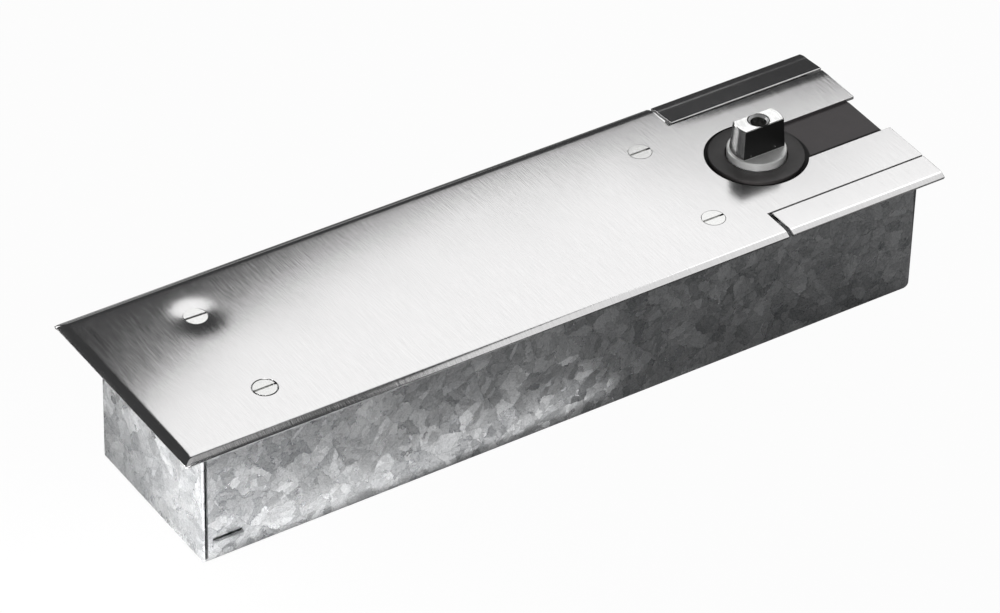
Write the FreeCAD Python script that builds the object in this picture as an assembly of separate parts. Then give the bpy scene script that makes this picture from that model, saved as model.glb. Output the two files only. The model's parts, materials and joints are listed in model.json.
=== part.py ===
"""A floor spring door closer for swing doors, in its cement box, at real size in millimetres.

The spindle stands on the origin: Z is its axis, and Z = 0 is the finished floor, level with the
top of the cover plate. +X points along the box to the end where the spindle is, +Y to the back.
The hydraulic closer hangs below the floor: a heart cam on the spindle pushes a roller, the roller
carries a piston, and the piston presses two springs towards the far end of the casting.
Heights are worked out downwards from the floor, lengths and widths outwards from the spindle.
"""

import FreeCAD, Part

import math
import os

VEC = FreeCAD.Vector

# How far a cutting shape reaches past what it cuts
past = 1.0

# Cover plate and its loose side strips
plate_thickness = 1.5
rim_drop = 1.9
rim_width = 5.2
overhang_side = 12.3
overhang_far = 14.0
overhang_spindle_end = 2.0
ring_hole_gap = 1.5
slot_half_width = 12.75
strip_start = -19.5
strip_width = 16.0
strip_gap = 0.4
strip_end_gap = 1.3
tongue_width = 5.5

# Cover screws, slotted and countersunk, and the brackets that take them
screw_radius = 2.5
screw_head_radius = 4.9
screw_head_edge = 0.3
screw_slot_width = 1.0
screw_slot_depth = 1.2
screw_length = 8.5
cover_screw_y = 26.6
far_bracket_from_end = 34.5
bracket_width = 14.0
bracket_thickness = 2.0
bracket_leg = 12.0
bracket_nut_flats = 8.0
bracket_nut_height = 4.0

# Cement box, folded from galvanised sheet
box_sheet = 1.5
box_corner_radius = 5.0
box_seam_corner = 1.0
box_bend_radius = 2.0
seam_gap = 1.4
side_gap = 4.1
end_gap = 6.8
floor_gap = 3.5
tab_from_end = 4.5
tab_length = 13.5
tab_height = 4.6
tab_above_base = 5.8
tab_lean = 1.5
tab_slit = 1.0

# Insert plate below the slot, and the dirt ring round the spindle
insert_thickness = 2.0
insert_half_width = 16.0
insert_corner = 5.0
insert_disc_margin = 3.0
insert_on_wall = 0.4
ring_width = 7.3
ring_height = 0.8
ring_edge = 0.5
ring_clearance = 0.4

# Spindle
shaft_radius = 12.5
collar_height = 4.0
tang_height = 13.6
tang_end_radius_base = 11.6
tang_end_radius_top = 10.6
tang_half_base = 5.4
tang_half_top = 4.7
arm_thread_radius = 3.4
arm_thread_length = 20.0
arm_thread_chamfer = 0.9
spindle_arris = 0.4
shoulder_radius = 14.0
shoulder_height = 2.0
cam_seat_radius = 10.0
journal_radius = 7.0
journal_length = 12.0
key_width = 5.0
key_height = 4.0
circlip_thickness = 1.2
circlip_radius = 12.0
circlip_groove_depth = 1.0
circlip_gap = 6.6
circlip_room = 0.9

# Cam, roller and piston
opening_angle = 130.0
cam_spare_angle = 8.0
cam_lift = 13.0
cam_min_radius = 13.2
cam_thickness = 12.0
cam_clearance = 0.15
cam_swing_gap = 1.8
roller_radius = 9.0
roller_length = 11.6
roller_pin_radius = 4.5
roller_pin_inset = 0.5
needle_end_gap = 0.4
needle_radius = 0.9
needle_count = 16
fork_gap = 0.3
fork_tip_gap = 3.0
fork_root_gap = 2.0
piston_length = 50.0
piston_clearance = 0.05
piston_ring_width = 3.0
piston_ring_depth = 2.0
spring_seat_depth = 8.0
check_valve_radius = 3.0
check_way_radius = 2.0
check_seat_radius = 5.0
check_seat_length = 6.0
check_seat_lip = 1.5
check_ball_play = 0.2
check_ball_gap = 0.05

# Springs
spring_length = 190.0
outer_spring_radius = 15.3
outer_wire_radius = 3.2
outer_turns = 11
inner_spring_radius = 8.2
inner_wire_radius = 1.9
inner_turns = 15
spring_steps = 12
wire_sides = 6

# Closer casting
bore_radius = 20.0
bore_runout = 1.5
roof = 7.0
belly = 4.5
chamber_wall = 5.0
head_length = 118.0
tail_half_width = 28.0
casting_corner = 6.0
tail_corner = 11.0
end_plug_thickness = 14.0
end_plug_recess = 3.5
end_plug_socket = 14.0
end_plug_socket_depth = 8.0
seal_ring_width = 2.5
seal_ring_depth = 1.8
lug_length = 15.0
lug_height = 8.0
lug_half_width = 30.0
lug_corner = 3.0
rail_width = 12.0
rail_height = 3.5
level_gap = 1.5

# Bearing cover and bearings
flange_thickness = 5.0
gasket_thickness = 0.5
flange_inset = 1.0
spigot_clearance = 0.1
flange_screw_inset = 6.0
flange_screw_radius = 2.5
flange_head_radius = 5.0
flange_screw_length = 14.0
flange_socket = 3.0
flange_socket_depth = 2.4
upper_bearing_height = 7.0
bearing_roller_end_gap = 0.8
bearing_inner_wall = 1.8
bearing_roller_radius = 1.35
bearing_outer_wall = 1.4
bearing_roller_count = 20
race_clearance = 0.05
seal_wall = 3.5
seal_clearance = 0.05
rubbing_gap = 0.3
thrust_washer_thickness = 2.0
thrust_radius = 12.0
thrust_pocket_gap = 0.1
thrust_stand = 0.6
thrust_needle_radius = 1.25
thrust_needle_length = 3.6
thrust_needle_count = 12
bush_wall = 2.5
bush_length = 6.0
bush_clearance = 0.03
bush_pocket_depth = 0.5

# Regulating valves and the oil filler
valve_x = -90.0
valve_y = 26.0
valve_radius = 3.5
valve_length = 14.0
valve_tip_radius = 1.5
valve_tip_length = 4.0
valve_slot_width = 1.2
valve_slot_depth = 1.5
valve_hole_clearance = 0.05
valve_sink = 0.5
valve_room_height = 3.0
valve_seal_width = 1.8
valve_seal_depth = 0.9
oil_way_radius = 1.5
filler_x = -150.0
filler_radius = 5.0
filler_socket = 5.0
filler_socket_depth = 3.0
filler_plug_length = 6.0

# Hexagon screws and levelling screws that hold the casting in the box
fixing_radius = 3.0
fixing_flats = 10.0
fixing_head = 4.0
fixing_washer_radius = 6.0
fixing_washer_thickness = 1.6
fixing_y = 22.0
fixing_slot_travel = 4.0
fixing_slot_gap = 0.5
levelling_radius = 3.0
levelling_length = 13.0
levelling_y = 8.0
levelling_socket = 3.0
thread_clearance = 0.05

# Heights, from the floor down
plate_under = -plate_thickness
insert_top = plate_under
box_top = insert_top - insert_thickness
flange_top = box_top
body_top = flange_top - flange_thickness - gasket_thickness
mech_z = body_top - roof - bore_radius
body_bottom = mech_z - bore_radius - belly
box_floor = body_bottom - floor_gap
box_bottom = box_floor - box_sheet
cam_top = mech_z + cam_thickness / 2
cam_bottom = mech_z - cam_thickness / 2
bearing_top = flange_top - flange_thickness
bearing_bottom = bearing_top - upper_bearing_height
seat_end = cam_bottom - circlip_thickness - circlip_room
thrust_height = 2 * thrust_washer_thickness + 2 * thrust_needle_radius + race_clearance
thrust_bottom = seat_end - thrust_height
chamber_floor = seat_end - thrust_stand
rail_top = box_floor + rail_height
lug_bottom = rail_top + level_gap
lug_top = lug_bottom + lug_height

# Cam: the roller's centre moves on a spiral, the same amount for each degree, both ways
opening = math.radians(opening_angle)
lift_per_radian = cam_lift / opening
cam_reach = opening + math.radians(cam_spare_angle)
roller_x = -(cam_min_radius + roller_radius)
cam_back_radius = cam_min_radius + lift_per_radian * cam_reach - cam_clearance
chamber_radius = cam_back_radius + cam_swing_gap

# Lengths and widths, from the spindle outwards
body_half_width = chamber_radius + chamber_wall
body_end = body_half_width
fork_tip = -(shaft_radius + fork_tip_gap)
piston_back = fork_tip - piston_length
fork_root = roller_x - roller_radius - fork_root_gap
spring_start = piston_back + spring_seat_depth
spring_end = spring_start - spring_length
body_far = spring_end - end_plug_thickness - end_plug_recess
bore_front = fork_tip + bore_runout
box_inner_half = body_half_width + side_gap
box_inner_end = body_end + lug_length + end_gap
box_inner_far = body_far - lug_length - end_gap
box_half_width = box_inner_half + box_sheet
box_end = box_inner_end + box_sheet
box_far = box_inner_far - box_sheet
box_far_seam = box_far + box_seam_corner
box_end_seam = box_end - box_corner_radius
plate_half_width = box_half_width + overhang_side
plate_end = box_end + overhang_spindle_end
plate_far = box_far - overhang_far
flange_half = body_half_width - flange_inset
flange_screw_at = flange_half - flange_screw_inset
ring_inner_radius = shaft_radius + ring_clearance
ring_radius = ring_inner_radius + ring_width
spindle_hole_radius = ring_radius + ring_hole_gap
near_bracket_x = -(flange_half + bracket_width / 2 + rubbing_gap)
far_bracket_x = box_inner_far + far_bracket_from_end
cover_screw_places = [(x, y) for x in (near_bracket_x, far_bracket_x)
                      for y in (-cover_screw_y, cover_screw_y)]
lug_centres = (body_end + lug_length / 2, body_far - lug_length / 2)
strip_joint = plate_half_width - strip_width

# Upper bearing and seal radii
inner_race_radius = shaft_radius + bearing_inner_wall
bearing_pitch_radius = inner_race_radius + race_clearance + bearing_roller_radius
outer_race_radius = bearing_pitch_radius + bearing_roller_radius + race_clearance
upper_bearing_radius = outer_race_radius + bearing_outer_wall
seal_outer_radius = shaft_radius + seal_wall


def block(x0, x1, y0, y1, z0, z1):
    """A box between two corners."""
    return Part.makeBox(x1 - x0, y1 - y0, z1 - z0, VEC(x0, y0, z0))


def rod(radius, z0, z1, x=0.0, y=0.0):
    """An upright cylinder."""
    return Part.makeCylinder(radius, z1 - z0, VEC(x, y, z0))


def tube(outer, inner, z0, z1, x=0.0, y=0.0):
    """An upright ring or sleeve."""
    return rod(outer, z0, z1, x, y).cut(rod(inner, z0, z1, x, y))


def taper(radius0, radius1, z0, z1, x=0.0, y=0.0):
    """An upright cone that is cut off at both ends."""
    return Part.makeCone(radius0, radius1, z1 - z0, VEC(x, y, z0))


def rod_x(radius, x0, x1, y=0.0, z=0.0):
    """A cylinder along X."""
    return Part.makeCylinder(radius, x1 - x0, VEC(x0, y, z), VEC(1, 0, 0))


def rod_y(radius, y0, y1, x=0.0, z=0.0):
    """A cylinder along Y."""
    return Part.makeCylinder(radius, y1 - y0, VEC(x, y0, z), VEC(0, 1, 0))


def hexagon(flats, z0, z1, x=0.0, y=0.0):
    """An upright hexagonal prism, by its width across flats."""
    corner = flats / math.sqrt(3)
    points = [VEC(x + corner * math.cos(k * math.pi / 3), y + corner * math.sin(k * math.pi / 3), z0)
              for k in range(7)]
    return Part.Face(Part.makePolygon(points)).extrude(VEC(0, 0, z1 - z0))


def hexagon_x(flats, x0, x1, y, z):
    """A hexagonal prism along X."""
    shape = hexagon(flats, 0.0, x1 - x0)
    shape.rotate(VEC(0, 0, 0), VEC(0, 1, 0), 90)
    shape.translate(VEC(x0, y, z))
    return shape


def rounded_block(x0, x1, y0, y1, z0, z1, radius):
    """A block whose four upright edges are round."""
    shape = block(x0, x1, y0, y1, z0, z1)
    upright = [e for e in shape.Edges if abs(e.tangentAt(e.FirstParameter).z) > 0.9]
    return shape.makeFillet(radius, upright)


def edges_along(shape, direction, keep):
    """The straight edges along a direction whose middle the test keeps."""
    found = []
    for edge in shape.Edges:
        middle = edge.valueAt((edge.FirstParameter + edge.LastParameter) / 2)
        along = edge.tangentAt(edge.FirstParameter)
        if abs(along.dot(direction)) > 0.99 and keep(middle):
            found.append(edge)
    return found


def round_about(shape, count):
    """Copies of a shape, evenly spaced about the spindle, as one group of separate solids."""
    copies = []
    for k in range(count):
        turned = shape.copy()
        turned.rotate(VEC(0, 0, 0), VEC(0, 0, 1), 360.0 * k / count)
        copies.append(turned)
    return Part.makeCompound(copies)


def rim_profile(half_width, depth, both_sides=True):
    """Section of the pressed plate: flat, with edges that curve down on an arc tangent to the flat."""
    curve_radius = (rim_width ** 2 + rim_drop ** 2) / (2 * rim_drop)
    half_turn = math.asin(rim_width / curve_radius) / 2
    arc_out = curve_radius * math.sin(half_turn)
    arc_down = curve_radius * (1 - math.cos(half_turn))
    flat = half_width - rim_width
    near = [VEC(0, flat, 0), VEC(0, flat + arc_out, -arc_down), VEC(0, half_width, -rim_drop)]
    edges = [Part.Arc(*near).toShape(), Part.makeLine(near[2], VEC(0, half_width, -depth))]
    if both_sides:
        far = [VEC(0, -p.y, p.z) for p in reversed(near)]
        edges.append(Part.makeLine(VEC(0, half_width, -depth), VEC(0, -half_width, -depth)))
        edges.append(Part.makeLine(VEC(0, -half_width, -depth), far[0]))
        edges.append(Part.Arc(*far).toShape())
        edges.append(Part.makeLine(far[2], near[0]))
        return Part.Face(Part.Wire(edges))
    edges.append(Part.makeLine(VEC(0, half_width, -depth), VEC(0, 0, -depth)))
    edges.append(Part.makeLine(VEC(0, 0, -depth), VEC(0, 0, 0)))
    edges.append(Part.makeLine(VEC(0, 0, 0), near[0]))
    return Part.Face(Part.Wire(edges))


def pressed_sheet():
    """The whole outline of the cover before it is cut: rims on the two long sides and the far end."""
    depth = rim_drop + 4 * plate_thickness
    across = rim_profile(plate_half_width, depth).extrude(VEC(plate_end - plate_far, 0, 0))
    across.translate(VEC(plate_far, 0, 0))
    along = rim_profile(plate_end - plate_far, depth, both_sides=False)
    along = along.extrude(VEC(2 * plate_half_width, 0, 0))
    along.rotate(VEC(0, 0, 0), VEC(0, 0, 1), 90)
    along.translate(VEC(plate_end, plate_half_width, 0))
    along.translate(VEC(0, -2 * plate_half_width, 0))
    solid = across.common(along)
    lower = solid.copy()
    lower.translate(VEC(0, 0, -plate_thickness))
    sheet = solid.cut(lower)
    return sheet.common(block(plate_far, plate_end, -plate_half_width, plate_half_width,
                              -rim_drop - plate_thickness, 0))


def screw_sink(x, y, clearance):
    """The cone and shank hole that one cover screw needs."""
    head = screw_head_radius + clearance
    shank = screw_radius + clearance
    cone_height = head - shank
    cone = taper(shank, head, -screw_head_edge - cone_height, -screw_head_edge, x, y)
    return cone.fuse([rod(head, -screw_head_edge, past, x, y), rod(shank, -screw_length, 0, x, y)])


def make_cover_plate():
    """Main plate: hole round the spindle, slot out to the end, and two notches for the strips."""
    sheet = pressed_sheet()
    deep = -rim_drop - 2 * plate_thickness
    cuts = [rod(spindle_hole_radius, deep, past),
            block(0, plate_end + past, -slot_half_width, slot_half_width, deep, past)]
    for side in (-1, 1):
        y0, y1 = sorted((side * strip_joint, side * (plate_half_width + past)))
        cuts.append(block(strip_start, plate_end + past, y0, y1, deep, past))
    for x, y in cover_screw_places:
        cuts.append(screw_sink(x, y, thread_clearance))
    return sheet.cut(cuts)


def make_side_strip(side):
    """Loose strip that completes one edge, with a tongue that tucks under the main plate."""
    y0, y1 = sorted((side * (strip_joint + strip_gap), side * (plate_half_width + past)))
    x0 = strip_start + strip_end_gap
    zone = block(x0, plate_end + past, y0, y1, -rim_drop - 2 * plate_thickness, past)
    strip = pressed_sheet().common(zone)
    t0, t1 = sorted((side * (strip_joint - tongue_width), side * (strip_joint + tongue_width)))
    tongue = block(x0, plate_end - rim_width, t0, t1, 2 * plate_under, plate_under)
    return strip.fuse(tongue).removeSplitter()


def make_cover_screws():
    """Four slotted countersunk screws, their slots along the plate."""
    screws = []
    for x, y in cover_screw_places:
        cone_height = screw_head_radius - screw_radius
        screw = taper(screw_radius, screw_head_radius, -screw_head_edge - cone_height,
                      -screw_head_edge, x, y)
        screw = screw.fuse([rod(screw_head_radius, -screw_head_edge, 0, x, y),
                            rod(screw_radius, -screw_length, -screw_head_edge, x, y)])
        slot = block(x - screw_head_radius - past, x + screw_head_radius + past,
                     y - screw_slot_width / 2, y + screw_slot_width / 2, -screw_slot_depth, past)
        screws.append(screw.cut(slot).removeSplitter())
    return Part.makeCompound(screws)


def lanced_tab(side):
    """Anchor tab cut out of a long wall and leant outwards, for the concrete to grip."""
    x0 = box_far + tab_from_end
    z0 = box_bottom + tab_above_base
    z1 = z0 + tab_height
    inner = side * box_inner_half
    outer = side * box_half_width
    points = [VEC(x0, inner, z0), VEC(x0, outer, z0), VEC(x0, outer + side * tab_lean, z1),
              VEC(x0, inner + side * tab_lean, z1), VEC(x0, inner, z0)]
    tab = Part.Face(Part.makePolygon(points)).extrude(VEC(tab_length, 0, 0))
    y0, y1 = sorted((inner - side, outer + side))
    window = block(x0, x0 + tab_length, y0, y1, z0, z1 + tab_slit)
    return tab, window


def box_shell(x0, x1):
    """One length of the open box between two stations, before its tabs and seams are cut."""
    shape = block(box_far, box_end, -box_half_width, box_half_width, box_bottom, box_top)
    up = VEC(0, 0, 1)
    shape = shape.makeFillet(box_corner_radius, edges_along(shape, up, lambda p: p.x > 0))
    shape = shape.makeFillet(box_seam_corner, edges_along(shape, up, lambda p: p.x < box_far + past))
    rim = [e for e in shape.Edges if e.BoundBox.ZMax < box_bottom + 0.01]
    shape = shape.makeFillet(box_bend_radius, rim)
    top = [f for f in shape.Faces if f.BoundBox.ZMin > box_top - 0.01]
    shape = shape.makeThickness(top, -box_sheet, 1e-4)
    return shape.common(block(x0, x1, -box_half_width, box_half_width, box_bottom, box_top))


def make_cement_box():
    """Channel of the box: its floor and long walls, with a tab lanced out of each wall and a slit
    left open at each far seam."""
    shape = box_shell(box_far_seam, box_end_seam)
    for side in (-1, 1):
        y0, y1 = sorted((side * (box_inner_half - past), side * (box_half_width + past)))
        slit = block(box_far_seam - past, box_far_seam + seam_gap, y0, y1,
                     box_bottom + box_bend_radius, box_top + past)
        tab, window = lanced_tab(side)
        shape = shape.cut([slit, window]).fuse(tab)
    return shape.removeSplitter()


def make_box_far_wall():
    """End wall at the far end, with its edges turned in to the seams."""
    return box_shell(box_far, box_far_seam)


def make_box_spindle_wall():
    """End wall at the spindle end, with drawn round corners welded to the channel."""
    return box_shell(box_end_seam, box_end)


def make_floor_rails():
    """Two bars welded to the box floor, tapped for the screws that hold the casting."""
    rails = []
    for x in lug_centres:
        rail = block(x - rail_width / 2, x + rail_width / 2, -lug_half_width, lug_half_width,
                     box_floor, rail_top)
        holes = [rod(fixing_radius, box_floor - past, rail_top + past, x, side * fixing_y)
                 for side in (-1, 1)]
        rails.append(rail.cut(holes))
    return Part.makeCompound(rails)


def make_bracket(x):
    """Bridge across the box that carries the cover: a flat with two legs on the box walls."""
    x0, x1 = x - bracket_width / 2, x + bracket_width / 2
    top, under = plate_under, plate_under - bracket_thickness
    inner = box_inner_half
    shape = block(x0, x1, -inner, inner, under, top)
    for side in (-1, 1):
        y0, y1 = sorted((side * inner, side * (inner - bracket_thickness)))
        shape = shape.fuse(block(x0, x1, y0, y1, under - bracket_leg, under))
    for side in (-1, 1):
        shape = shape.cut(screw_sink(x, side * cover_screw_y, thread_clearance * 2))
    return shape.removeSplitter()


def make_bracket_nuts():
    """Four weld nuts under the brackets."""
    nuts = []
    for x, y in cover_screw_places:
        top = plate_under - bracket_thickness
        nut = hexagon(bracket_nut_flats, top - bracket_nut_height, top, x, y)
        hole = rod(screw_radius + thread_clearance * 2, top - bracket_nut_height - past, top + past, x, y)
        nuts.append(nut.cut(hole))
    return Part.makeCompound(nuts)


def make_slot_insert():
    """Plate that closes the slot from below: a disc round the spindle with a tail to the end."""
    disc_radius = spindle_hole_radius + insert_disc_margin
    tail_end = box_inner_end + insert_on_wall
    tail = block(0, tail_end, -insert_half_width, insert_half_width, box_top, insert_top)
    ends = edges_along(tail, VEC(0, 0, 1), lambda p: p.x > tail_end - past)
    tail = tail.makeFillet(insert_corner, ends)
    shape = tail.fuse(rod(disc_radius, box_top, insert_top))
    return shape.cut(rod(ring_inner_radius, box_top - past, insert_top + past)).removeSplitter()


def make_spindle_ring():
    """Dirt ring round the spindle, standing a little proud of the floor, with bevelled edges."""
    z0, z1 = insert_top, ring_height
    ring = tube(ring_radius, ring_inner_radius, z0, z1)
    edges = [e for e in ring.Edges if e.BoundBox.ZMin > z1 - 0.01 and len(e.Vertexes) == 1]
    return ring.makeChamfer(ring_edge, edges)


def tang_shape(z0, z1):
    """Flat conical tang for the door arm: a cone with two flats, everything tapering upwards, with a
    small bevel round its top."""
    body = taper(tang_end_radius_base, tang_end_radius_top, z0, z1)
    sides = []
    for half, z in ((tang_half_base, z0), (tang_half_top, z1)):
        reach = tang_end_radius_base + past
        corners = [VEC(-reach, -half, z), VEC(reach, -half, z), VEC(reach, half, z), VEC(-reach, half, z)]
        sides.append(Part.makePolygon(corners + [corners[0]]))
    tang = body.common(Part.makeLoft(sides, True, True))
    return tang.makeChamfer(spindle_arris, [e for e in tang.Edges if e.BoundBox.ZMin > z1 - 0.01])


def key_block():
    """The feather key between cam and spindle, on the side away from the roller."""
    middle = cam_seat_radius
    return block(middle - key_height / 2, middle + key_height / 2, -key_width / 2, key_width / 2,
                 cam_bottom, cam_top)


def make_spindle():
    """Stepped shaft with the tang, the collar, the bearing seats and the tapped hole for the arm."""
    foot = thrust_bottom - journal_length + thrust_height
    bevel_z = collar_height - spindle_arris
    shape = rod(shaft_radius, cam_top, bevel_z)
    shape = shape.fuse(taper(shaft_radius, shaft_radius - spindle_arris, bevel_z, collar_height))
    shape = shape.fuse([rod(shoulder_radius, bearing_bottom - shoulder_height, bearing_bottom),
                        rod(cam_seat_radius, seat_end, cam_top),
                        rod(journal_radius, foot, seat_end),
                        tang_shape(collar_height, collar_height + tang_height)])
    top = collar_height + tang_height
    hole_end = top - arm_thread_chamfer - arm_thread_length
    groove_z = cam_bottom - circlip_thickness
    groove = tube(cam_seat_radius + past, cam_seat_radius - circlip_groove_depth, groove_z, cam_bottom)
    sink = taper(arm_thread_radius, arm_thread_radius + arm_thread_chamfer, top - arm_thread_chamfer, top)
    return shape.cut([rod(arm_thread_radius, hole_end, top), sink, groove, key_block()]).removeSplitter()


def cam_flank(side, steps=14):
    """One flank of the heart cam. The roller's centre is at radius min + roller + lift x angle; the
    flank is that spiral moved in by the roller's radius and the clearance, along its normal."""
    points = []
    inset = roller_radius + cam_clearance
    for k in range(steps + 1):
        angle = cam_reach * k / steps
        pitch = cam_min_radius + roller_radius + lift_per_radian * angle
        slope = math.atan2(lift_per_radian, pitch)
        heading = math.pi - side * angle
        normal = heading + side * slope
        points.append(VEC(pitch * math.cos(heading) - inset * math.cos(normal),
                          pitch * math.sin(heading) - inset * math.sin(normal), 0))
    return points


def make_cam():
    """Heart cam: a notch that holds the roller when the door is closed, two equal spiral flanks, and
    a round back. Its bore has the keyway."""
    flanks = {side: cam_flank(side) for side in (1, -1)}
    curves = []
    for side in (1, -1):
        curve = Part.BSplineCurve()
        curve.interpolate(flanks[side])
        curves.append(curve.toShape())
    notch = VEC(roller_x + roller_radius + cam_clearance, 0, 0)
    back = VEC(math.hypot(flanks[1][-1].x, flanks[1][-1].y), 0, 0)
    curves.append(Part.Arc(flanks[1][0], notch, flanks[-1][0]).toShape())
    curves.append(Part.Arc(flanks[1][-1], back, flanks[-1][-1]).toShape())
    outline = Part.Wire(Part.__sortEdges__(curves))
    cam = Part.Face(outline).extrude(VEC(0, 0, cam_thickness))
    cam.translate(VEC(0, 0, cam_bottom))
    return cam.cut([rod(cam_seat_radius, cam_bottom - past, cam_top + past), key_block()])


def make_cam_circlip():
    """Retaining ring under the cam, open on one side."""
    z0, z1 = cam_bottom - circlip_thickness, cam_bottom
    ring = tube(circlip_radius, cam_seat_radius - circlip_groove_depth, z0, z1)
    half = circlip_gap / 2
    return ring.cut(block(0, circlip_radius + past, -half, half, z0 - past, z1 + past))


def make_piston():
    """Piston with a fork for the cam roller, a spring seat in its back and a drilled oil way."""
    radius = bore_radius - piston_clearance
    shape = rod_x(radius, piston_back, fork_tip, 0, mech_z)
    slot_half = cam_thickness / 2 + fork_gap
    slot = block(fork_root, fork_tip + past, -radius - past, radius + past,
                 mech_z - slot_half, mech_z + slot_half)
    seat = rod_x(outer_spring_radius + outer_wire_radius + rubbing_gap, piston_back - past, spring_start,
                 0, mech_z)
    pin_hole = rod(roller_pin_radius, mech_z - radius - past, mech_z + radius + past, roller_x, 0)
    way = rod_x(check_way_radius, spring_start - past, fork_root + past, 0, mech_z)
    pocket = rod_x(check_seat_radius, spring_start - past, spring_start + check_seat_length, 0, mech_z)
    shape = shape.cut([slot, seat, pin_hole, way, pocket])
    for x in piston_ring_places():
        groove = rod_x(radius + past, x, x + piston_ring_width, 0, mech_z)
        core = rod_x(radius - piston_ring_depth, x - past, x + piston_ring_width + past, 0, mech_z)
        shape = shape.cut(groove.cut(core))
    return shape.removeSplitter()


def piston_ring_places():
    """Where the two piston rings start."""
    middle = (spring_start + fork_root) / 2
    return (middle - 2 * piston_ring_width, middle + piston_ring_width)


def make_piston_rings():
    """Two sealing rings in the piston's grooves."""
    rings = []
    for x in piston_ring_places():
        outer = rod_x(bore_radius - piston_clearance / 2, x, x + piston_ring_width, 0, mech_z)
        inner = rod_x(bore_radius - piston_clearance - piston_ring_depth, x, x + piston_ring_width,
                      0, mech_z)
        rings.append(outer.cut(inner))
    return Part.makeCompound(rings)


def make_check_valve_seat():
    """Bushing that the check valve's ball shuts against."""
    x0, x1 = spring_start, spring_start + check_seat_length
    seat = rod_x(check_seat_radius, x0, x1, 0, mech_z)
    room = rod_x(check_valve_radius, x0 + check_seat_lip, x1 + past, 0, mech_z)
    way = rod_x(check_way_radius, x0 - past, x1, 0, mech_z)
    return seat.cut([room, way])


def make_check_valve_ball():
    """Ball of the check valve, loose in its seat."""
    radius = check_valve_radius - check_ball_play
    reach = math.sqrt(radius ** 2 - check_way_radius ** 2)
    x = spring_start + check_seat_lip + reach + check_ball_gap
    return Part.makeSphere(radius, VEC(x, 0, mech_z))


def make_roller_pin():
    """Pin through both arms of the fork."""
    radius = bore_radius - piston_clearance
    half = math.sqrt(radius ** 2 - roller_pin_radius ** 2) - roller_pin_inset
    return rod(roller_pin_radius, mech_z - half, mech_z + half, roller_x, 0)


def make_cam_roller():
    """Hardened roller that runs on the cam."""
    half = roller_length / 2
    bore = roller_pin_radius + 2 * needle_radius + 2 * race_clearance
    return tube(roller_radius, bore, mech_z - half, mech_z + half, roller_x, 0)


def make_roller_needles():
    """Needles between the roller and its pin."""
    half = roller_length / 2 - needle_end_gap
    pitch = roller_pin_radius + needle_radius + race_clearance
    needle = rod(needle_radius, mech_z - half, mech_z + half, pitch, 0)
    group = round_about(needle, needle_count)
    group.translate(VEC(roller_x, 0, 0))
    return group


def spring_height(turn, turns, wire):
    """How far along the spring a turn lies: closed end coils, and an even pitch between them."""
    live_pitch = (spring_length - 2 * wire) / (turns - 2)
    if turn < 1:
        return turn * wire
    if turn < turns - 1:
        return wire + (turn - 1) * live_pitch
    return spring_length - (turns - turn) * wire


def make_spring(mean_radius, wire_radius, turns):
    """Coil spring along X with closed ends that are ground flat, its wire made of small facets."""
    rings = []
    for k in range(turns * spring_steps + 1):
        turn = k / spring_steps
        angle = 2 * math.pi * turn
        along = spring_start - spring_height(turn, turns, 2 * wire_radius)
        ring = []
        for side in range(wire_sides):
            around = 2 * math.pi * (side + 0.5) / wire_sides
            reach = mean_radius + wire_radius * math.cos(around)
            x = min(max(along + wire_radius * math.sin(around), spring_end), spring_start)
            ring.append(VEC(x, reach * math.cos(angle), mech_z + reach * math.sin(angle)))
        rings.append(ring)
    faces = []
    for first, second in zip(rings, rings[1:]):
        for side in range(wire_sides):
            after = (side + 1) % wire_sides
            corners = (first[side], first[after], second[after], second[side])
            for triangle in ((corners[0], corners[1], corners[2]), (corners[0], corners[2], corners[3])):
                faces.append(Part.Face(Part.makePolygon(list(triangle) + [triangle[0]])))
    for ring in (rings[0], rings[-1]):
        faces.append(Part.Face(Part.makePolygon(ring + [ring[0]])))
    spring = Part.Solid(Part.Shell(faces))
    if spring.Volume < 0:
        spring.reverse()
    return spring


def make_end_plug():
    """Threaded plug that closes the spring bore, with a hexagon socket and a groove for its seal."""
    x1 = spring_end
    x0 = x1 - end_plug_thickness
    plug = rod_x(bore_radius, x0, x1, 0, mech_z)
    socket = hexagon_x(end_plug_socket, x0 - past, x0 + end_plug_socket_depth, 0, mech_z)
    return plug.cut([socket, make_end_plug_seal()])


def make_end_plug_seal():
    """The ring that sits in the end plug's groove."""
    x0 = spring_end - end_plug_thickness / 2
    x1 = x0 + seal_ring_width
    ring = rod_x(bore_radius, x0, x1, 0, mech_z)
    return ring.cut(rod_x(bore_radius - seal_ring_depth, x0, x1, 0, mech_z))


def casting_block():
    """Outside of the casting: a square head round the cam and a narrower, rounder tail."""
    head = rounded_block(-head_length, body_end, -body_half_width, body_half_width,
                         body_bottom, body_top, casting_corner)
    tail = block(body_far, -head_length + casting_corner * 2, -tail_half_width, tail_half_width,
                 body_bottom, body_top)
    tail = tail.makeFillet(tail_corner, edges_along(tail, VEC(1, 0, 0), lambda p: True))
    return head.fuse(tail)


def casting_lugs():
    """Flat feet at both ends, over the rails in the box."""
    lugs = []
    for x0, x1 in ((body_end - casting_corner * 2, body_end + lug_length),
                   (body_far - lug_length, body_far + tail_corner)):
        lugs.append(rounded_block(x0, x1, -lug_half_width, lug_half_width, lug_bottom, lug_top,
                                  lug_corner))
    return lugs


def lug_holes():
    """Long holes for the fixing screws and tapped holes for the levelling screws."""
    holes = []
    z0, z1 = lug_bottom - past, lug_top + past
    hole = fixing_radius + fixing_slot_gap
    for x in lug_centres:
        for side in (-1, 1):
            y = side * fixing_y
            holes.append(rod(hole, z0, z1, x, y - fixing_slot_travel / 2))
            holes.append(rod(hole, z0, z1, x, y + fixing_slot_travel / 2))
            holes.append(block(x - hole, x + hole, y - fixing_slot_travel / 2,
                               y + fixing_slot_travel / 2, z0, z1))
            holes.append(rod(levelling_radius, z0, z1, x, side * levelling_y))
    return holes


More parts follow.
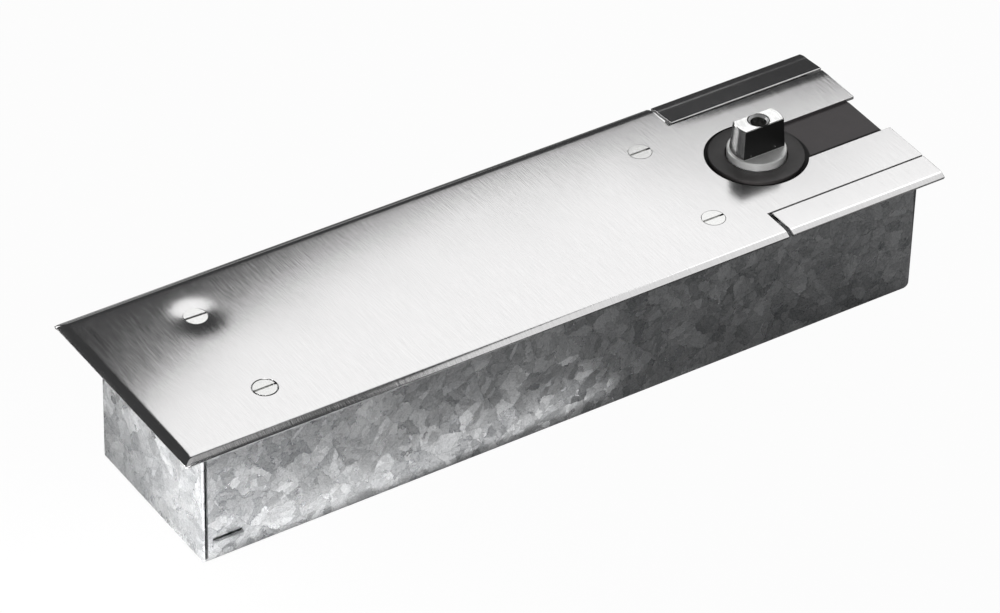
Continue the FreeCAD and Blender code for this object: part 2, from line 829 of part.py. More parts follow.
def valve_holes():
    """Stepped holes for the two regulating valves, with an oil way from the cam chamber to the room
    round each needle and another from under the needle to the spring bore."""
    holes = []
    tip_top = body_top - valve_sink - valve_length
    room_floor = tip_top - valve_room_height
    cross_z = tip_top - valve_tip_length - 2 * oil_way_radius
    for side in (-1, 1):
        y = side * valve_y
        holes.append(rod(valve_radius + valve_hole_clearance, room_floor, body_top + past, valve_x, y))
        holes.append(rod(valve_tip_radius, cross_z, room_floor, valve_x, y))
        y0, y1 = sorted((0.0, y))
        holes.append(rod_y(oil_way_radius, y0, y1, valve_x, cross_z))
        holes.append(rod_x(oil_way_radius, valve_x, -valve_radius, y, tip_top - valve_room_height / 2))
    return holes


def make_closer_body():
    """The casting: cam chamber, piston bore, bearing seats, lugs, valve holes and filler hole."""
    shape = casting_block().fuse(casting_lugs())
    chamber = rod(chamber_radius, chamber_floor, body_top + past)
    bore = rod_x(bore_radius, body_far - lug_length - past, bore_front, 0, mech_z)
    thrust_pocket = rod(thrust_radius + thrust_pocket_gap, thrust_bottom, chamber_floor + past)
    bush_floor = thrust_bottom - bush_length - bush_pocket_depth
    bush_pocket = rod(journal_radius + bush_wall, bush_floor, thrust_bottom + past)
    filler = rod(filler_radius, mech_z, body_top + past, filler_x, 0)
    screws = [rod(flange_screw_radius, bearing_top - flange_screw_length, body_top + past, x, y)
              for x, y in flange_screw_places()]
    shape = shape.cut([chamber, bore, thrust_pocket, bush_pocket, filler] + screws)
    return shape.cut(lug_holes() + valve_holes()).removeSplitter()


def flange_screw_places():
    """The four corners of the bearing cover."""
    return [(sx * flange_screw_at, sy * flange_screw_at) for sx in (-1, 1) for sy in (-1, 1)]


def flange_screw(x, y, clearance=0.0):
    """A countersunk screw of the bearing cover, or the room for one."""
    head = flange_head_radius + clearance
    shank = flange_screw_radius + clearance
    cone_height = head - shank
    cone = taper(shank, head, flange_top - cone_height, flange_top, x, y)
    return cone.fuse(rod(shank, flange_top - flange_screw_length, flange_top - cone_height / 2, x, y))


def make_bearing_cover():
    """Square cover on the cam chamber, holding the upper bearing and the shaft seal."""
    half = flange_half
    shape = rounded_block(-half, half, -half, half, bearing_top, flange_top, casting_corner)
    shape = shape.fuse(rod(chamber_radius - spigot_clearance, bearing_bottom, bearing_top))
    cuts = [rod(seal_outer_radius, bearing_top - past, flange_top + past),
            rod(upper_bearing_radius, bearing_bottom - past, bearing_top)]
    cuts += [flange_screw(x, y, thread_clearance) for x, y in flange_screw_places()]
    return shape.cut(cuts).removeSplitter()


def make_cover_gasket():
    """Thin gasket under the bearing cover."""
    half = flange_half
    shape = rounded_block(-half, half, -half, half, body_top, bearing_top, casting_corner)
    cuts = [rod(chamber_radius, body_top - past, bearing_top + past)]
    cuts += [rod(flange_screw_radius + rubbing_gap, body_top - past, bearing_top + past, x, y)
             for x, y in flange_screw_places()]
    return shape.cut(cuts)


def make_bearing_cover_screws():
    """Four countersunk socket screws."""
    screws = []
    for x, y in flange_screw_places():
        socket = hexagon(flange_socket, flange_top - flange_socket_depth, flange_top + past, x, y)
        screws.append(flange_screw(x, y).cut(socket))
    return Part.makeCompound(screws)


def make_upper_bearing_rollers():
    """Rollers of the upper bearing."""
    z0 = bearing_bottom + bearing_roller_end_gap
    z1 = bearing_top - bearing_roller_end_gap
    roller = rod(bearing_roller_radius, z0, z1, bearing_pitch_radius, 0)
    return round_about(roller, bearing_roller_count)


def make_thrust_washer(low):
    """One washer of the thrust bearing: the low one stays in the casting, the high one turns."""
    z0 = thrust_bottom if low else seat_end - thrust_washer_thickness
    return tube(thrust_radius, journal_radius + rubbing_gap, z0, z0 + thrust_washer_thickness)


def make_thrust_needles():
    """Needles that lie like spokes between the two thrust washers."""
    z = thrust_bottom + thrust_washer_thickness + thrust_needle_radius + race_clearance / 2
    start = (journal_radius + thrust_radius - thrust_needle_length) / 2
    needle = rod_x(thrust_needle_radius, start, start + thrust_needle_length, 0, z)
    return round_about(needle, thrust_needle_count)


def make_foot_bush():
    """Plain bush round the spindle's foot."""
    return tube(journal_radius + bush_wall, journal_radius + bush_clearance,
                thrust_bottom - bush_length, thrust_bottom)


def make_spindle_seal():
    """Shaft seal in the bearing cover."""
    return tube(seal_outer_radius, shaft_radius + seal_clearance, bearing_top + rubbing_gap, flange_top)


def make_valve(side):
    """Regulating valve: a slotted screw with a groove for its seal and a needle tip."""
    y = side * valve_y
    top = body_top - valve_sink
    low = top - valve_length
    shape = rod(valve_radius, low, top, valve_x, y)
    tip = taper(valve_tip_radius / 2, valve_tip_radius, low - valve_tip_length, low, valve_x, y)
    slot = block(valve_x - valve_radius - past, valve_x + valve_radius + past, y - valve_slot_width / 2,
                 y + valve_slot_width / 2, top - valve_slot_depth, top + past)
    shape = shape.fuse(tip).cut([slot, valve_seal_shape(side, valve_radius + past)])
    return shape.removeSplitter()


def valve_seal_shape(side, outer):
    """The seal ring of one valve, or with a wider outside its groove."""
    z0 = body_top - valve_sink - valve_length / 2
    return tube(outer, valve_radius - valve_seal_depth, z0, z0 + valve_seal_width, valve_x, side * valve_y)


def make_filler_plug():
    """Plug of the oil filler, with a hexagon socket."""
    plug = rod(filler_radius, body_top - filler_plug_length, body_top, filler_x, 0)
    return plug.cut(hexagon(filler_socket, body_top - filler_socket_depth, body_top + past, filler_x, 0))


def make_fixing_screws():
    """Hexagon screws through the lugs into the rails."""
    screws = []
    head_z = lug_top + fixing_washer_thickness
    for x in lug_centres:
        for side in (-1, 1):
            y = side * fixing_y
            shank = rod(fixing_radius, box_floor, head_z, x, y)
            screws.append(shank.fuse(hexagon(fixing_flats, head_z, head_z + fixing_head, x, y)))
    return Part.makeCompound(screws)


def make_fixing_washers():
    """Washers under the fixing screws."""
    z0, z1 = lug_top, lug_top + fixing_washer_thickness
    return Part.makeCompound([tube(fixing_washer_radius, fixing_radius, z0, z1, x, side * fixing_y)
                              for x in lug_centres for side in (-1, 1)])


def make_levelling_screws():
    """Socket set screws in the lugs, standing on the rails."""
    screws = []
    for x in lug_centres:
        for side in (-1, 1):
            y = side * levelling_y
            top = rail_top + levelling_length
            screw = rod(levelling_radius, rail_top, top, x, y)
            screws.append(screw.cut(hexagon(levelling_socket, top - levelling_socket, top + past, x, y)))
    return Part.makeCompound(screws)


PIECES = {
    "cover_plate": make_cover_plate,
    "side_strip_front": lambda: make_side_strip(-1),
    "side_strip_back": lambda: make_side_strip(1),
    "cover_screws": make_cover_screws,
    "cement_box": make_cement_box,
    "box_far_wall": make_box_far_wall,
    "box_spindle_wall": make_box_spindle_wall,
    "floor_rails": make_floor_rails,
    "cover_bracket_near": lambda: make_bracket(near_bracket_x),
    "cover_bracket_far": lambda: make_bracket(far_bracket_x),
    "bracket_nuts": make_bracket_nuts,
    "slot_insert": make_slot_insert,
    "spindle_ring": make_spindle_ring,
    "closer_body": make_closer_body,
    "bearing_cover": make_bearing_cover,
    "cover_gasket": make_cover_gasket,
    "bearing_cover_screws": make_bearing_cover_screws,
    "upper_bearing_outer_ring": lambda: tube(upper_bearing_radius, outer_race_radius,
                                             bearing_bottom, bearing_top),
    "upper_bearing_inner_ring": lambda: tube(inner_race_radius, shaft_radius, bearing_bottom, bearing_top),
    "upper_bearing_rollers": make_upper_bearing_rollers,
    "thrust_washer_lower": lambda: make_thrust_washer(True),
    "thrust_washer_upper": lambda: make_thrust_washer(False),
    "thrust_needles": make_thrust_needles,
    "foot_bush": make_foot_bush,
    "spindle_seal": make_spindle_seal,
    "spindle": make_spindle,
    "cam_disc": make_cam,
    "cam_key": key_block,
    "cam_circlip": make_cam_circlip,
    "piston": make_piston,
    "piston_rings": make_piston_rings,
    "check_valve_seat": make_check_valve_seat,
    "check_valve_ball": make_check_valve_ball,
    "roller_pin": make_roller_pin,
    "cam_roller": make_cam_roller,
    "roller_needles": make_roller_needles,
    "outer_spring": lambda: make_spring(outer_spring_radius, outer_wire_radius, outer_turns),
    "inner_spring": lambda: make_spring(inner_spring_radius, inner_wire_radius, inner_turns),
    "end_plug": make_end_plug,
    "end_plug_seal": make_end_plug_seal,
    "closing_speed_valve": lambda: make_valve(-1),
    "closing_speed_valve_seal": lambda: valve_seal_shape(-1, valve_radius),
    "latch_valve": lambda: make_valve(1),
    "latch_valve_seal": lambda: valve_seal_shape(1, valve_radius),
    "filler_plug": make_filler_plug,
    "fixing_screws": make_fixing_screws,
    "fixing_washers": make_fixing_washers,
    "levelling_screws": make_levelling_screws,
}


def main():
    """Write one STEP file for each piece."""
    os.makedirs("parts", exist_ok=True)
    for name, make in PIECES.items():
        shape = make()
        shape.exportStep(os.path.join("parts", name + ".step"))
    print("box from", round(box_far, 2), "to", round(box_end, 2), "half width", round(box_half_width, 2),
          "bottom", round(box_bottom, 2))
    print("plate from", round(plate_far, 2), "to", round(plate_end, 2), "half width",
          round(plate_half_width, 2), "piston travel per radian", round(lift_per_radian, 5))


main()
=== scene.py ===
"""Looks of a floor spring door closer in its cement box: surfaces, finishes, lamps and camera.

Lengths are metres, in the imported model's own frame: the spindle's axis is Z, Z = 0 is the finished
floor, +X runs along the box to the end where the spindle stands, +Y to the back. Each operator makes
one piece, or one group of like pieces, and the last one sets the stage.
"""

import json
import math

import bmesh
import bpy
import numpy as np
from bpy.props import FloatProperty, FloatVectorProperty, PointerProperty
from mathutils import Matrix, Vector
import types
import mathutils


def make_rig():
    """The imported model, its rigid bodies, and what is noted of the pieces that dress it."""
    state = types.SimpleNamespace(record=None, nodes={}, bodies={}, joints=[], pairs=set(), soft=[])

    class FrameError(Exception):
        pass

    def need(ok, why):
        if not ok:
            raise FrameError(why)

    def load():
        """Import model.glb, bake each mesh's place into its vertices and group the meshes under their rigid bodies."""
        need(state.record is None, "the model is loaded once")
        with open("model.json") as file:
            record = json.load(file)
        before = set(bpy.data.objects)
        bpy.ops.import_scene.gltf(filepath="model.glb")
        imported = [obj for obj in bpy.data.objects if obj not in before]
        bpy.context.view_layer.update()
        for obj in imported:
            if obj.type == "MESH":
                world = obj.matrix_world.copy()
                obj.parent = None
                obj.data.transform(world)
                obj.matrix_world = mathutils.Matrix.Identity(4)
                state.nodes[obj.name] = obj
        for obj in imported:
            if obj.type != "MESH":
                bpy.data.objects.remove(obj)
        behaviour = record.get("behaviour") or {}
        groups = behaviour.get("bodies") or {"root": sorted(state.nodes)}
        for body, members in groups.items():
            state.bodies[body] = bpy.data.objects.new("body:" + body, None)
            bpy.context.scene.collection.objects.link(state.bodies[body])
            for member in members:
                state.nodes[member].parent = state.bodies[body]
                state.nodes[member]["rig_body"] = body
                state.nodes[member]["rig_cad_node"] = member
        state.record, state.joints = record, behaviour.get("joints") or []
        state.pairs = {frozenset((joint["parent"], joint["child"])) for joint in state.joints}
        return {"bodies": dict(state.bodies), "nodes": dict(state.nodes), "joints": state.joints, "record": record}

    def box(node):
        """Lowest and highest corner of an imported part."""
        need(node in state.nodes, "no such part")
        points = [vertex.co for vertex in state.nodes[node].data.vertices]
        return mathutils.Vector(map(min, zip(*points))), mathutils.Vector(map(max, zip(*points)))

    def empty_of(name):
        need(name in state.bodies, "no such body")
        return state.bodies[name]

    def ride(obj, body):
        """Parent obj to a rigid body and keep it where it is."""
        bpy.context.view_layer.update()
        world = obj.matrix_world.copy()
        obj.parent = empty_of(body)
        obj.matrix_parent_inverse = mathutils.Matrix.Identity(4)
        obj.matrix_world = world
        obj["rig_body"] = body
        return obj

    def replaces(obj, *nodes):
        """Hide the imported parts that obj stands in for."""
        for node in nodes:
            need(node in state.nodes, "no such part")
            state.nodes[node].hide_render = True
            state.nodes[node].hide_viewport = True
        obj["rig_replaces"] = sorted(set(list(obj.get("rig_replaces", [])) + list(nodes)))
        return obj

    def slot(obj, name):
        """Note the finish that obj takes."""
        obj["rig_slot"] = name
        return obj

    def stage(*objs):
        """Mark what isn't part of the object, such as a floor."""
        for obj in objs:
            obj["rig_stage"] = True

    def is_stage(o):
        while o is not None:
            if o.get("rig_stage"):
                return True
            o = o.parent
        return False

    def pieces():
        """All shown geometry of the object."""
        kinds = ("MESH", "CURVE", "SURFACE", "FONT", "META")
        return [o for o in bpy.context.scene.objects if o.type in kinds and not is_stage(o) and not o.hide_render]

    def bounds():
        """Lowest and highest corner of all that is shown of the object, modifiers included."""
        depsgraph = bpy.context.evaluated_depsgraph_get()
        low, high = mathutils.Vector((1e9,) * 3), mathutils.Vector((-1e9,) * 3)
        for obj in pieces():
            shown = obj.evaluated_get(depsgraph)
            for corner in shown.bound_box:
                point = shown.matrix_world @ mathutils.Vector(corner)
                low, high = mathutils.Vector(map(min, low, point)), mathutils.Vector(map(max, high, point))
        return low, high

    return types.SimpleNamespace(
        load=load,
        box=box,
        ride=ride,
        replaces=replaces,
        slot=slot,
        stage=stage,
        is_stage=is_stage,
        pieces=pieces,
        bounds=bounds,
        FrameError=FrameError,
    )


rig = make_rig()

bl_info = {
    "name": "Floor spring door closer",
    "version": (1, 0, 0),
    "blender": (4, 5, 0),
    "location": "3D View > Sidebar > Floor spring",
    "description": "Makes the surfaces and finishes of a floor spring around its packed model",
    "category": "Object",
}

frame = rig.load()
packed_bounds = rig.bounds()

MM = 0.001
MERGE_DISTANCE = 1e-6
SIZE_FILE = "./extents.json"


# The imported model


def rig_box(node):
    """A node's lowest and highest corners as arrays."""
    low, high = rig.box(node)
    return np.array(low), np.array(high)


def frame_body(node):
    """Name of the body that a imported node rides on."""
    return frame["nodes"][node]["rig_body"]


# Surfaces


def stations(*parts):
    """Rising list of places from (start, end, step) runs that follow each other."""
    runs = [np.linspace(a, b, max(2, round((b - a) / step) + 1)) for a, b, step in parts]
    return np.concatenate([run[:-1] for run in runs] + [runs[-1][-1:]])


def grid_faces(rows, columns, round_rows=False, round_columns=False):
    """Quads of a grid of points kept row by row, closed on itself where a direction is round."""
    row = np.arange(rows if round_rows else rows - 1)
    column = np.arange(columns if round_columns else columns - 1)
    row, column = np.meshgrid(row, column, indexing="ij")
    next_row = (row + 1) % rows
    next_column = (column + 1) % columns
    corners = [row * columns + column, row * columns + next_column,
               next_row * columns + next_column, next_row * columns + column]
    return np.stack(corners, axis=-1).reshape(-1, 4)


def patch(points, round_rows=False, round_columns=False):
    """A grid of points, rows x columns x 3, as a list of points and its quads."""
    rows, columns = points.shape[:2]
    return points.reshape(-1, 3), grid_faces(rows, columns, round_rows, round_columns)


def make_piece(name, patches, outwards=False):
    """One object from its patches. Points that meet are merged, and a closed shell can have its
    faces turned outwards."""
    points = np.concatenate([p for p, _ in patches])
    starts = np.cumsum([0] + [len(p) for p, _ in patches[:-1]])
    faces = np.concatenate([f + start for (_, f), start in zip(patches, starts)])
    mesh = bpy.data.meshes.new(name)
    mesh.from_pydata(points.tolist(), [], faces.tolist())
    return finish_mesh(name, mesh, outwards)


def finish_mesh(name, mesh, outwards=False, flat_angle=None):
    """Merges the points of a mesh that meet, cleans flat areas if asked, and makes its object."""
    work = bmesh.new()
    work.from_mesh(mesh)
    bmesh.ops.remove_doubles(work, verts=work.verts, dist=MERGE_DISTANCE)
    if flat_angle is not None:
        bmesh.ops.dissolve_limit(work, angle_limit=flat_angle, verts=work.verts, edges=work.edges)
    if outwards:
        bmesh.ops.recalc_face_normals(work, faces=work.faces)
    work.to_mesh(mesh)
    work.free()
    mesh.shade_smooth()
    piece = bpy.data.objects.new(name, mesh)
    bpy.context.scene.collection.objects.link(piece)
    return piece


def thicken(piece, thickness):
    """Gives a sheet its thickness, below the face that points up."""
    solid = piece.modifiers.new("thickness", "SOLIDIFY")
    solid.thickness = thickness
    solid.offset = -1.0


def ease_edges(piece, width, angle=math.radians(32), segments=2):
    """Rounds the sharp edges of a piece a little, as real edges are."""
    bevel = piece.modifiers.new("eased_edges", "BEVEL")
    bevel.width = width
    bevel.segments = segments
    bevel.limit_method = "ANGLE"
    bevel.angle_limit = angle
    bevel.harden_normals = True
    bevel.use_clamp_overlap = True


def packed_copy(node, name, flat_angle=math.radians(0.5)):
    """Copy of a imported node's mesh, merged and with its flat areas in one face each."""
    mesh = frame["nodes"][node].data.copy()
    mesh.name = name
    for attribute in ("custom_normal", "sharp_edge", "sharp_face"):
        if attribute in mesh.attributes:
            mesh.attributes.remove(mesh.attributes[attribute])
    return finish_mesh(name, mesh, flat_angle=flat_angle)


def settle(piece, body, nodes, slot):
    """Says what a finished piece rides on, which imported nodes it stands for, and its finish."""
    piece.data.materials.clear()
    piece.data.materials.append(finish_for(slot))
    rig.ride(piece, body)
    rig.replaces(piece, *nodes)
    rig.slot(piece, slot)


# Shaders


class Number:
    """A number that varies over a surface, held by a socket. Sums with it add Math nodes."""

    def __init__(self, finish, socket):
        self.finish = finish
        self.socket = socket

    def math(self, operation, *terms, clamp=False):
        node = self.finish.node("ShaderNodeMath", {"operation": operation, "use_clamp": clamp},
                                dict(enumerate(terms)))
        return Number(self.finish, node.outputs[0])

    def __add__(self, other):
        return self.math("ADD", self, other)

    def __sub__(self, other):
        return self.math("SUBTRACT", self, other)

    def __rsub__(self, other):
        return self.math("SUBTRACT", other, self)

    def __mul__(self, other):
        return self.math("MULTIPLY", self, other)

    def __truediv__(self, other):
        return self.math("DIVIDE", self, other)

    def __rtruediv__(self, other):
        return self.math("DIVIDE", other, self)

    def __pow__(self, other):
        return self.math("POWER", self, other)

    def __rpow__(self, other):
        return self.math("POWER", other, self)

    def __lt__(self, other):
        return self.math("LESS_THAN", self, other)

    def __gt__(self, other):
        return self.math("GREATER_THAN", self, other)

    def __abs__(self):
        return self.math("ABSOLUTE", self)

    __radd__ = __add__
    __rmul__ = __mul__

    def limited(self):
        """The same number kept between 0 and 1."""
        return self.math("ADD", self, 0.0, clamp=True)

    def between(self, low, high, to_low=0.0, to_high=1.0):
        """Number that goes evenly from one value to another as this one goes from low to high."""
        node = self.finish.node("ShaderNodeMapRange", {"clamp": True},
                                {0: self, 1: low, 2: high, 3: to_low, 4: to_high})
        return Number(self.finish, node.outputs[0])


class Nodes:
    """The nodes of a material or of the world."""

    def __init__(self, tree):
        self.tree = tree

    def node(self, kind, settings=None, values=None):
        """Adds a node: first its settings, then the value or the link of each socket."""
        node = self.tree.nodes.new(kind)
        for setting, value in (settings or {}).items():
            setattr(node, setting, value)
        for socket, value in (values or {}).items():
            self.feed(node.inputs[socket], value)
        return node

    def feed(self, socket, value):
        """Links a socket to a number or to another socket, or sets its value."""
        if isinstance(value, Number):
            value = value.socket
        if isinstance(value, bpy.types.NodeSocket):
            self.tree.links.new(value, socket)
        else:
            socket.default_value = value

    def mixed(self, factor, first, second):
        """Mix of what two shader nodes give: the first one at 0, the second one at 1."""
        return self.node("ShaderNodeMixShader", None,
                         {0: factor, 1: first.outputs[0], 2: second.outputs[0]})


class Finish(Nodes):
    """A procedural material: its shader, and the nodes that feed it."""

    def __init__(self, name, **constants):
        self.material = bpy.data.materials.new(name)
        self.material.use_nodes = True
        super().__init__(self.material.node_tree)
        self.shader = self.tree.nodes["Principled BSDF"]
        for socket, value in constants.items():
            self.shader.inputs[socket.replace("_", " ")].default_value = value
        self.place = self.node("ShaderNodeTexCoord").outputs["Object"]

    def stretched(self, scale, place=None):
        """Place on the piece, scaled on each axis."""
        node = self.node("ShaderNodeMapping", {"vector_type": "TEXTURE"}, {
            "Vector": self.place if place is None else place, "Scale": [1.0 / s for s in scale]})
        return node.outputs[0]

    def cloudy(self, scale, place=None, detail=2.0, roughness=0.5):
        """Cloudy pattern: the node, whose Fac is a number and whose Color is three."""
        return self.node("ShaderNodeTexNoise", None, {
            "Vector": self.place if place is None else place, "Scale": scale, "Detail": detail,
            "Roughness": roughness})

    def noise(self, *pattern, **more):
        """Cloudy number from 0 to 1."""
        return Number(self, self.cloudy(*pattern, **more).outputs["Fac"])

    def cells(self, scale, place=None, feature="F1"):
        """Cells of one value each: the node, whose Color is a random one for each cell."""
        return self.node("ShaderNodeTexVoronoi", {"feature": feature}, {
            "Vector": self.place if place is None else place, "Scale": scale})

    def cell_border(self, scale, place):
        """Distance from the border of the cell."""
        return Number(self, self.cells(scale, place, "DISTANCE_TO_EDGE").outputs["Distance"])

    def parts(self, vector):
        """The three numbers of a vector or colour."""
        node = self.node("ShaderNodeSeparateXYZ", None, {0: vector})
        return [Number(self, socket) for socket in node.outputs]

    def blend(self, factor, low, high):
        """Colour that goes from one to another with a number."""
        node = self.node("ShaderNodeMix", {"data_type": "RGBA"}, {0: factor, 6: low, 7: high})
        return node.outputs[2]

    def bump(self, height, strength, distance):
        """Normal of a surface raised by a height."""
        values = {"Height": height, "Strength": strength, "Distance": distance}
        return self.node("ShaderNodeBump", None, values).outputs[0]

    def wear(self, **inputs):
        """Feeds the shader's varying inputs and gives the material back."""
        for socket, value in inputs.items():
            self.feed(self.shader.inputs[socket.replace("_", " ")], value)
        return self.material


def tint(colour, factor=1.0):
    """Colour as a shader wants it, lighter or darker by a factor."""
    return [c * factor for c in colour[:3]] + [1.0]


# Densities of patterns, per metre along X, Y and Z
LONG_STREAKS = (1700.0, 45.0, 45.0)
FINE_STREAKS = (2800.0, 150.0, 150.0)
SHARDS = (380.0, 120.0, 230.0)
FROST_STREAKS = (2400.0, 700.0, 1200.0)

# Where a finish changes
HANDLED_FROM = 22.0 * MM
HANDLED_TO = 60.0 * MM
# Width of the painted dark reflection along the cover's long cut edges
DARK_EDGE_BAND = 0.12 * MM
CRYSTAL_WARP = 0.0035
# Painted shade on the box's spindle-end corner: its heights, where it starts along X, and its fade
CORNER_SHADE_TOP = -8.0 * MM
CORNER_SHADE_BOTTOM = -62.0 * MM
CORNER_SHADE_X_TOP = 52.4 * MM
CORNER_SHADE_X_BOTTOM = 55.0 * MM
CORNER_SHADE_FADE = 1.4 * MM
HOLE_EDGE = 4.25 * MM
HOLE_OUTLINE = 4.75 * MM


def brushed_steel(name, look):
    """Stainless sheet with its grain across the plate: fine streaks along Y in gloss and height, and
    duller where it is handled about the spindle. The long cut edges carry a painted dark reflection."""
    finish = Finish(name, Metallic=1.0)
    long_grain = finish.noise(1.0, finish.stretched(LONG_STREAKS), roughness=0.6)
    fine_grain = finish.noise(1.0, finish.stretched(FINE_STREAKS))
    cloud = finish.noise(22.0, detail=3.0)
    grain = long_grain * 0.5 + fine_grain * 0.5
    colour = finish.blend(grain.between(0.35, 0.65), tint(look.steel_colour, 0.94),
                          tint(look.steel_colour, 1.06))
    roughness = grain.between(0.3, 0.7, look.steel_gloss - 0.02, look.steel_gloss + 0.04)
    x, y = finish.parts(finish.place)[:2]
    handled = ((x * x + y * y) ** 0.5).between(HANDLED_FROM, HANDLED_TO, 0.07, 0.0)
    # Painted dark reflection: the long cut edges are coloured nearly black, and made a little rougher
    painted_dark_edge = abs(y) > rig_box("cover_plate")[1][1] - DARK_EDGE_BAND
    colour = finish.blend(painted_dark_edge, colour, tint(look.steel_colour, 0.06))
    roughness = roughness + cloud.between(0.3, 0.7, 0.0, 0.03) + handled + painted_dark_edge * 0.2
    normal = finish.bump(grain, look.steel_grain, 0.08 * MM)
    return finish.wear(Base_Color=colour, Roughness=roughness, Normal=normal)


def spangled_zinc(name, look):
    """Hot galvanised sheet: angular crystals, each with its own tilt and tone, folded inside into
    smaller facets, with thin dark lines where crystals meet, and painted shade on the spindle-end corner."""
    finish = Finish(name, Metallic=0.75)
    ragged = finish.cloudy(420.0, detail=3.0, roughness=0.6).outputs["Color"]
    bent = finish.node("ShaderNodeMix", {"data_type": "VECTOR"},
                       {0: CRYSTAL_WARP, 4: finish.place, 5: ragged}).outputs[1]
    crystal = finish.cells(look.crystal_scale, bent)
    red, green, blue = finish.parts(crystal.outputs["Color"])
    turned = finish.node("ShaderNodeVectorRotate", {"rotation_type": "EULER_XYZ"}, {
        "Vector": bent,
        "Rotation": finish.node("ShaderNodeVectorMath", {"operation": "SCALE"},
                                {0: crystal.outputs["Color"], "Scale": 2.0 * math.pi}).outputs[0]})
    shard_place = finish.stretched(SHARDS, turned.outputs[0])
    folds = finish.cells(1.0, shard_place)
    fold_red, fold_green, fold_blue = finish.parts(folds.outputs["Color"])
    border = finish.cell_border(look.crystal_scale, bent)
    fold_border = finish.cell_border(1.0, shard_place)
    line = border.between(0.0, 0.03, 1.0, 0.0) * 0.6 + fold_border.between(0.0, 0.05, 1.0, 0.0) * 0.5
    frost = finish.noise(1.0, finish.stretched(FROST_STREAKS, turned.outputs[0]), detail=3.0,
                         roughness=0.65)
    cloud = finish.noise(16.0, detail=3.0)
    broad = (red - 0.5) * 0.26 + (fold_red - 0.5) * 0.26
    tone = broad + (frost - 0.5) + (cloud - 0.5) * 0.5 + 0.52 - line * 0.28
    x, y, z = finish.parts(finish.place)
    # Painted shade: the zinc is coloured nearly black past a line near the spindle end of the box
    shade_start = z.between(CORNER_SHADE_BOTTOM, CORNER_SHADE_TOP, CORNER_SHADE_X_BOTTOM, CORNER_SHADE_X_TOP)
    painted_corner_shade = ((x - shade_start) / CORNER_SHADE_FADE).limited()
    colour = finish.blend(tone.limited(), tint(look.zinc_dark), tint(look.zinc_light))
    colour = finish.blend(painted_corner_shade, colour, tint(look.zinc_dark, 0.12))
    roughness = fold_green.between(0.0, 1.0, 0.26, 0.48)
    tilt = (red - 0.5) * x + (green - 0.5) * y + (blue - 0.5) * z
    fold_tilt = (fold_red - 0.5) * x + (fold_green - 0.5) * y + (fold_blue - 0.5) * z
    height = tilt * 0.55 + fold_tilt * 0.45 + frost * 0.06 * MM
    normal = finish.bump(height, 1.0, look.crystal_tilt)
    return finish.wear(Base_Color=colour, Roughness=roughness, Normal=normal)


def plain_metal(name, colour, roughness, scale=900.0, depth=0.02 * MM, metallic=1.0, stain=0.12):
    """Metal with tool marks or a cast skin, a little uneven in tone and gloss."""
    finish = Finish(name, Metallic=metallic)
    fine = finish.noise(scale, detail=4.0, roughness=0.6)
    cloud = finish.noise(45.0, detail=3.0)
    shade = finish.blend((cloud * 0.7 + fine * 0.3).between(0.3, 0.7), tint(colour, 1.0 - stain),
                         tint(colour, 1.0 + stain))
    gloss = fine.between(0.3, 0.7, roughness - 0.05, roughness + 0.08)
    return finish.wear(Base_Color=shade, Roughness=gloss, Normal=finish.bump(fine, 0.4, depth))


def turned_steel(name, look):
    """Turned and milled steel of the spindle: rings round the axis, flats coloured black as a painted
    dark reflection, with small bright specks where they are rubbed, a coarser ground collar and hole
    edge, and a black line round the hole."""
    finish = Finish(name, Metallic=1.0)
    x, y, z = finish.parts(finish.place)
    radius = (x * x + y * y) ** 0.5
    rings = finish.node("ShaderNodeCombineXYZ", None, {0: radius * 2600.0, 1: z * 2600.0}).outputs[0]
    turning = finish.noise(1.0, rings, detail=3.0, roughness=0.6)
    cloud = finish.noise(160.0, detail=3.0)
    half = z.between(look.tang_base, look.tang_top, look.tang_half_base, look.tang_half_top)
    on_flat = (abs(y) > half - 0.12 * MM) * (z > look.tang_base + 0.1 * MM) * (z < look.tang_top - 0.25 * MM)
    speck_distance = Number(finish, finish.cells(520.0).outputs["Distance"])
    speck = (speck_distance < 0.13) * (cloud > 0.57)
    at_top = z > look.tang_top - 1.0 * MM
    outline = (radius > HOLE_EDGE) * (radius < HOLE_OUTLINE) * at_top
    # The black on the flats is a painted dark reflection
    black = (on_flat * (1.0 - speck) + outline).limited()
    ground = ((z < look.tang_base + 0.05 * MM) + (radius < HOLE_EDGE) * at_top).limited()
    bright = finish.blend(cloud.between(0.35, 0.65), tint(look.spindle_colour, 0.9),
                          tint(look.spindle_colour, 1.08))
    colour = finish.blend(black, bright, tint(look.flat_colour))
    roughness = turning.between(0.3, 0.7, 0.14, 0.26) + black * 0.2 + ground * 0.16
    normal = finish.bump(turning, 0.35, 0.03 * MM)
    metallic = 1.0 - black * 0.5 - ground * 0.45
    return finish.wear(Base_Color=colour, Roughness=roughness, Metallic=metallic, Normal=normal)


def moulded_plastic(name, colour, roughness=0.4):
    """Moulded plastic or rubber with a fine grain and a few rubbed places."""
    finish = Finish(name, Metallic=0.0)
    grain = finish.noise(2600.0)
    rubbed = finish.noise(90.0, detail=4.0, roughness=0.65)
    shade = finish.blend(rubbed.between(0.4, 0.75), tint(colour), tint(colour, 1.7))
    gloss = grain.between(0.3, 0.7, roughness - 0.05, roughness + 0.08)
    return finish.wear(Base_Color=shade, Roughness=gloss, Normal=finish.bump(grain, 0.35, 0.03 * MM))


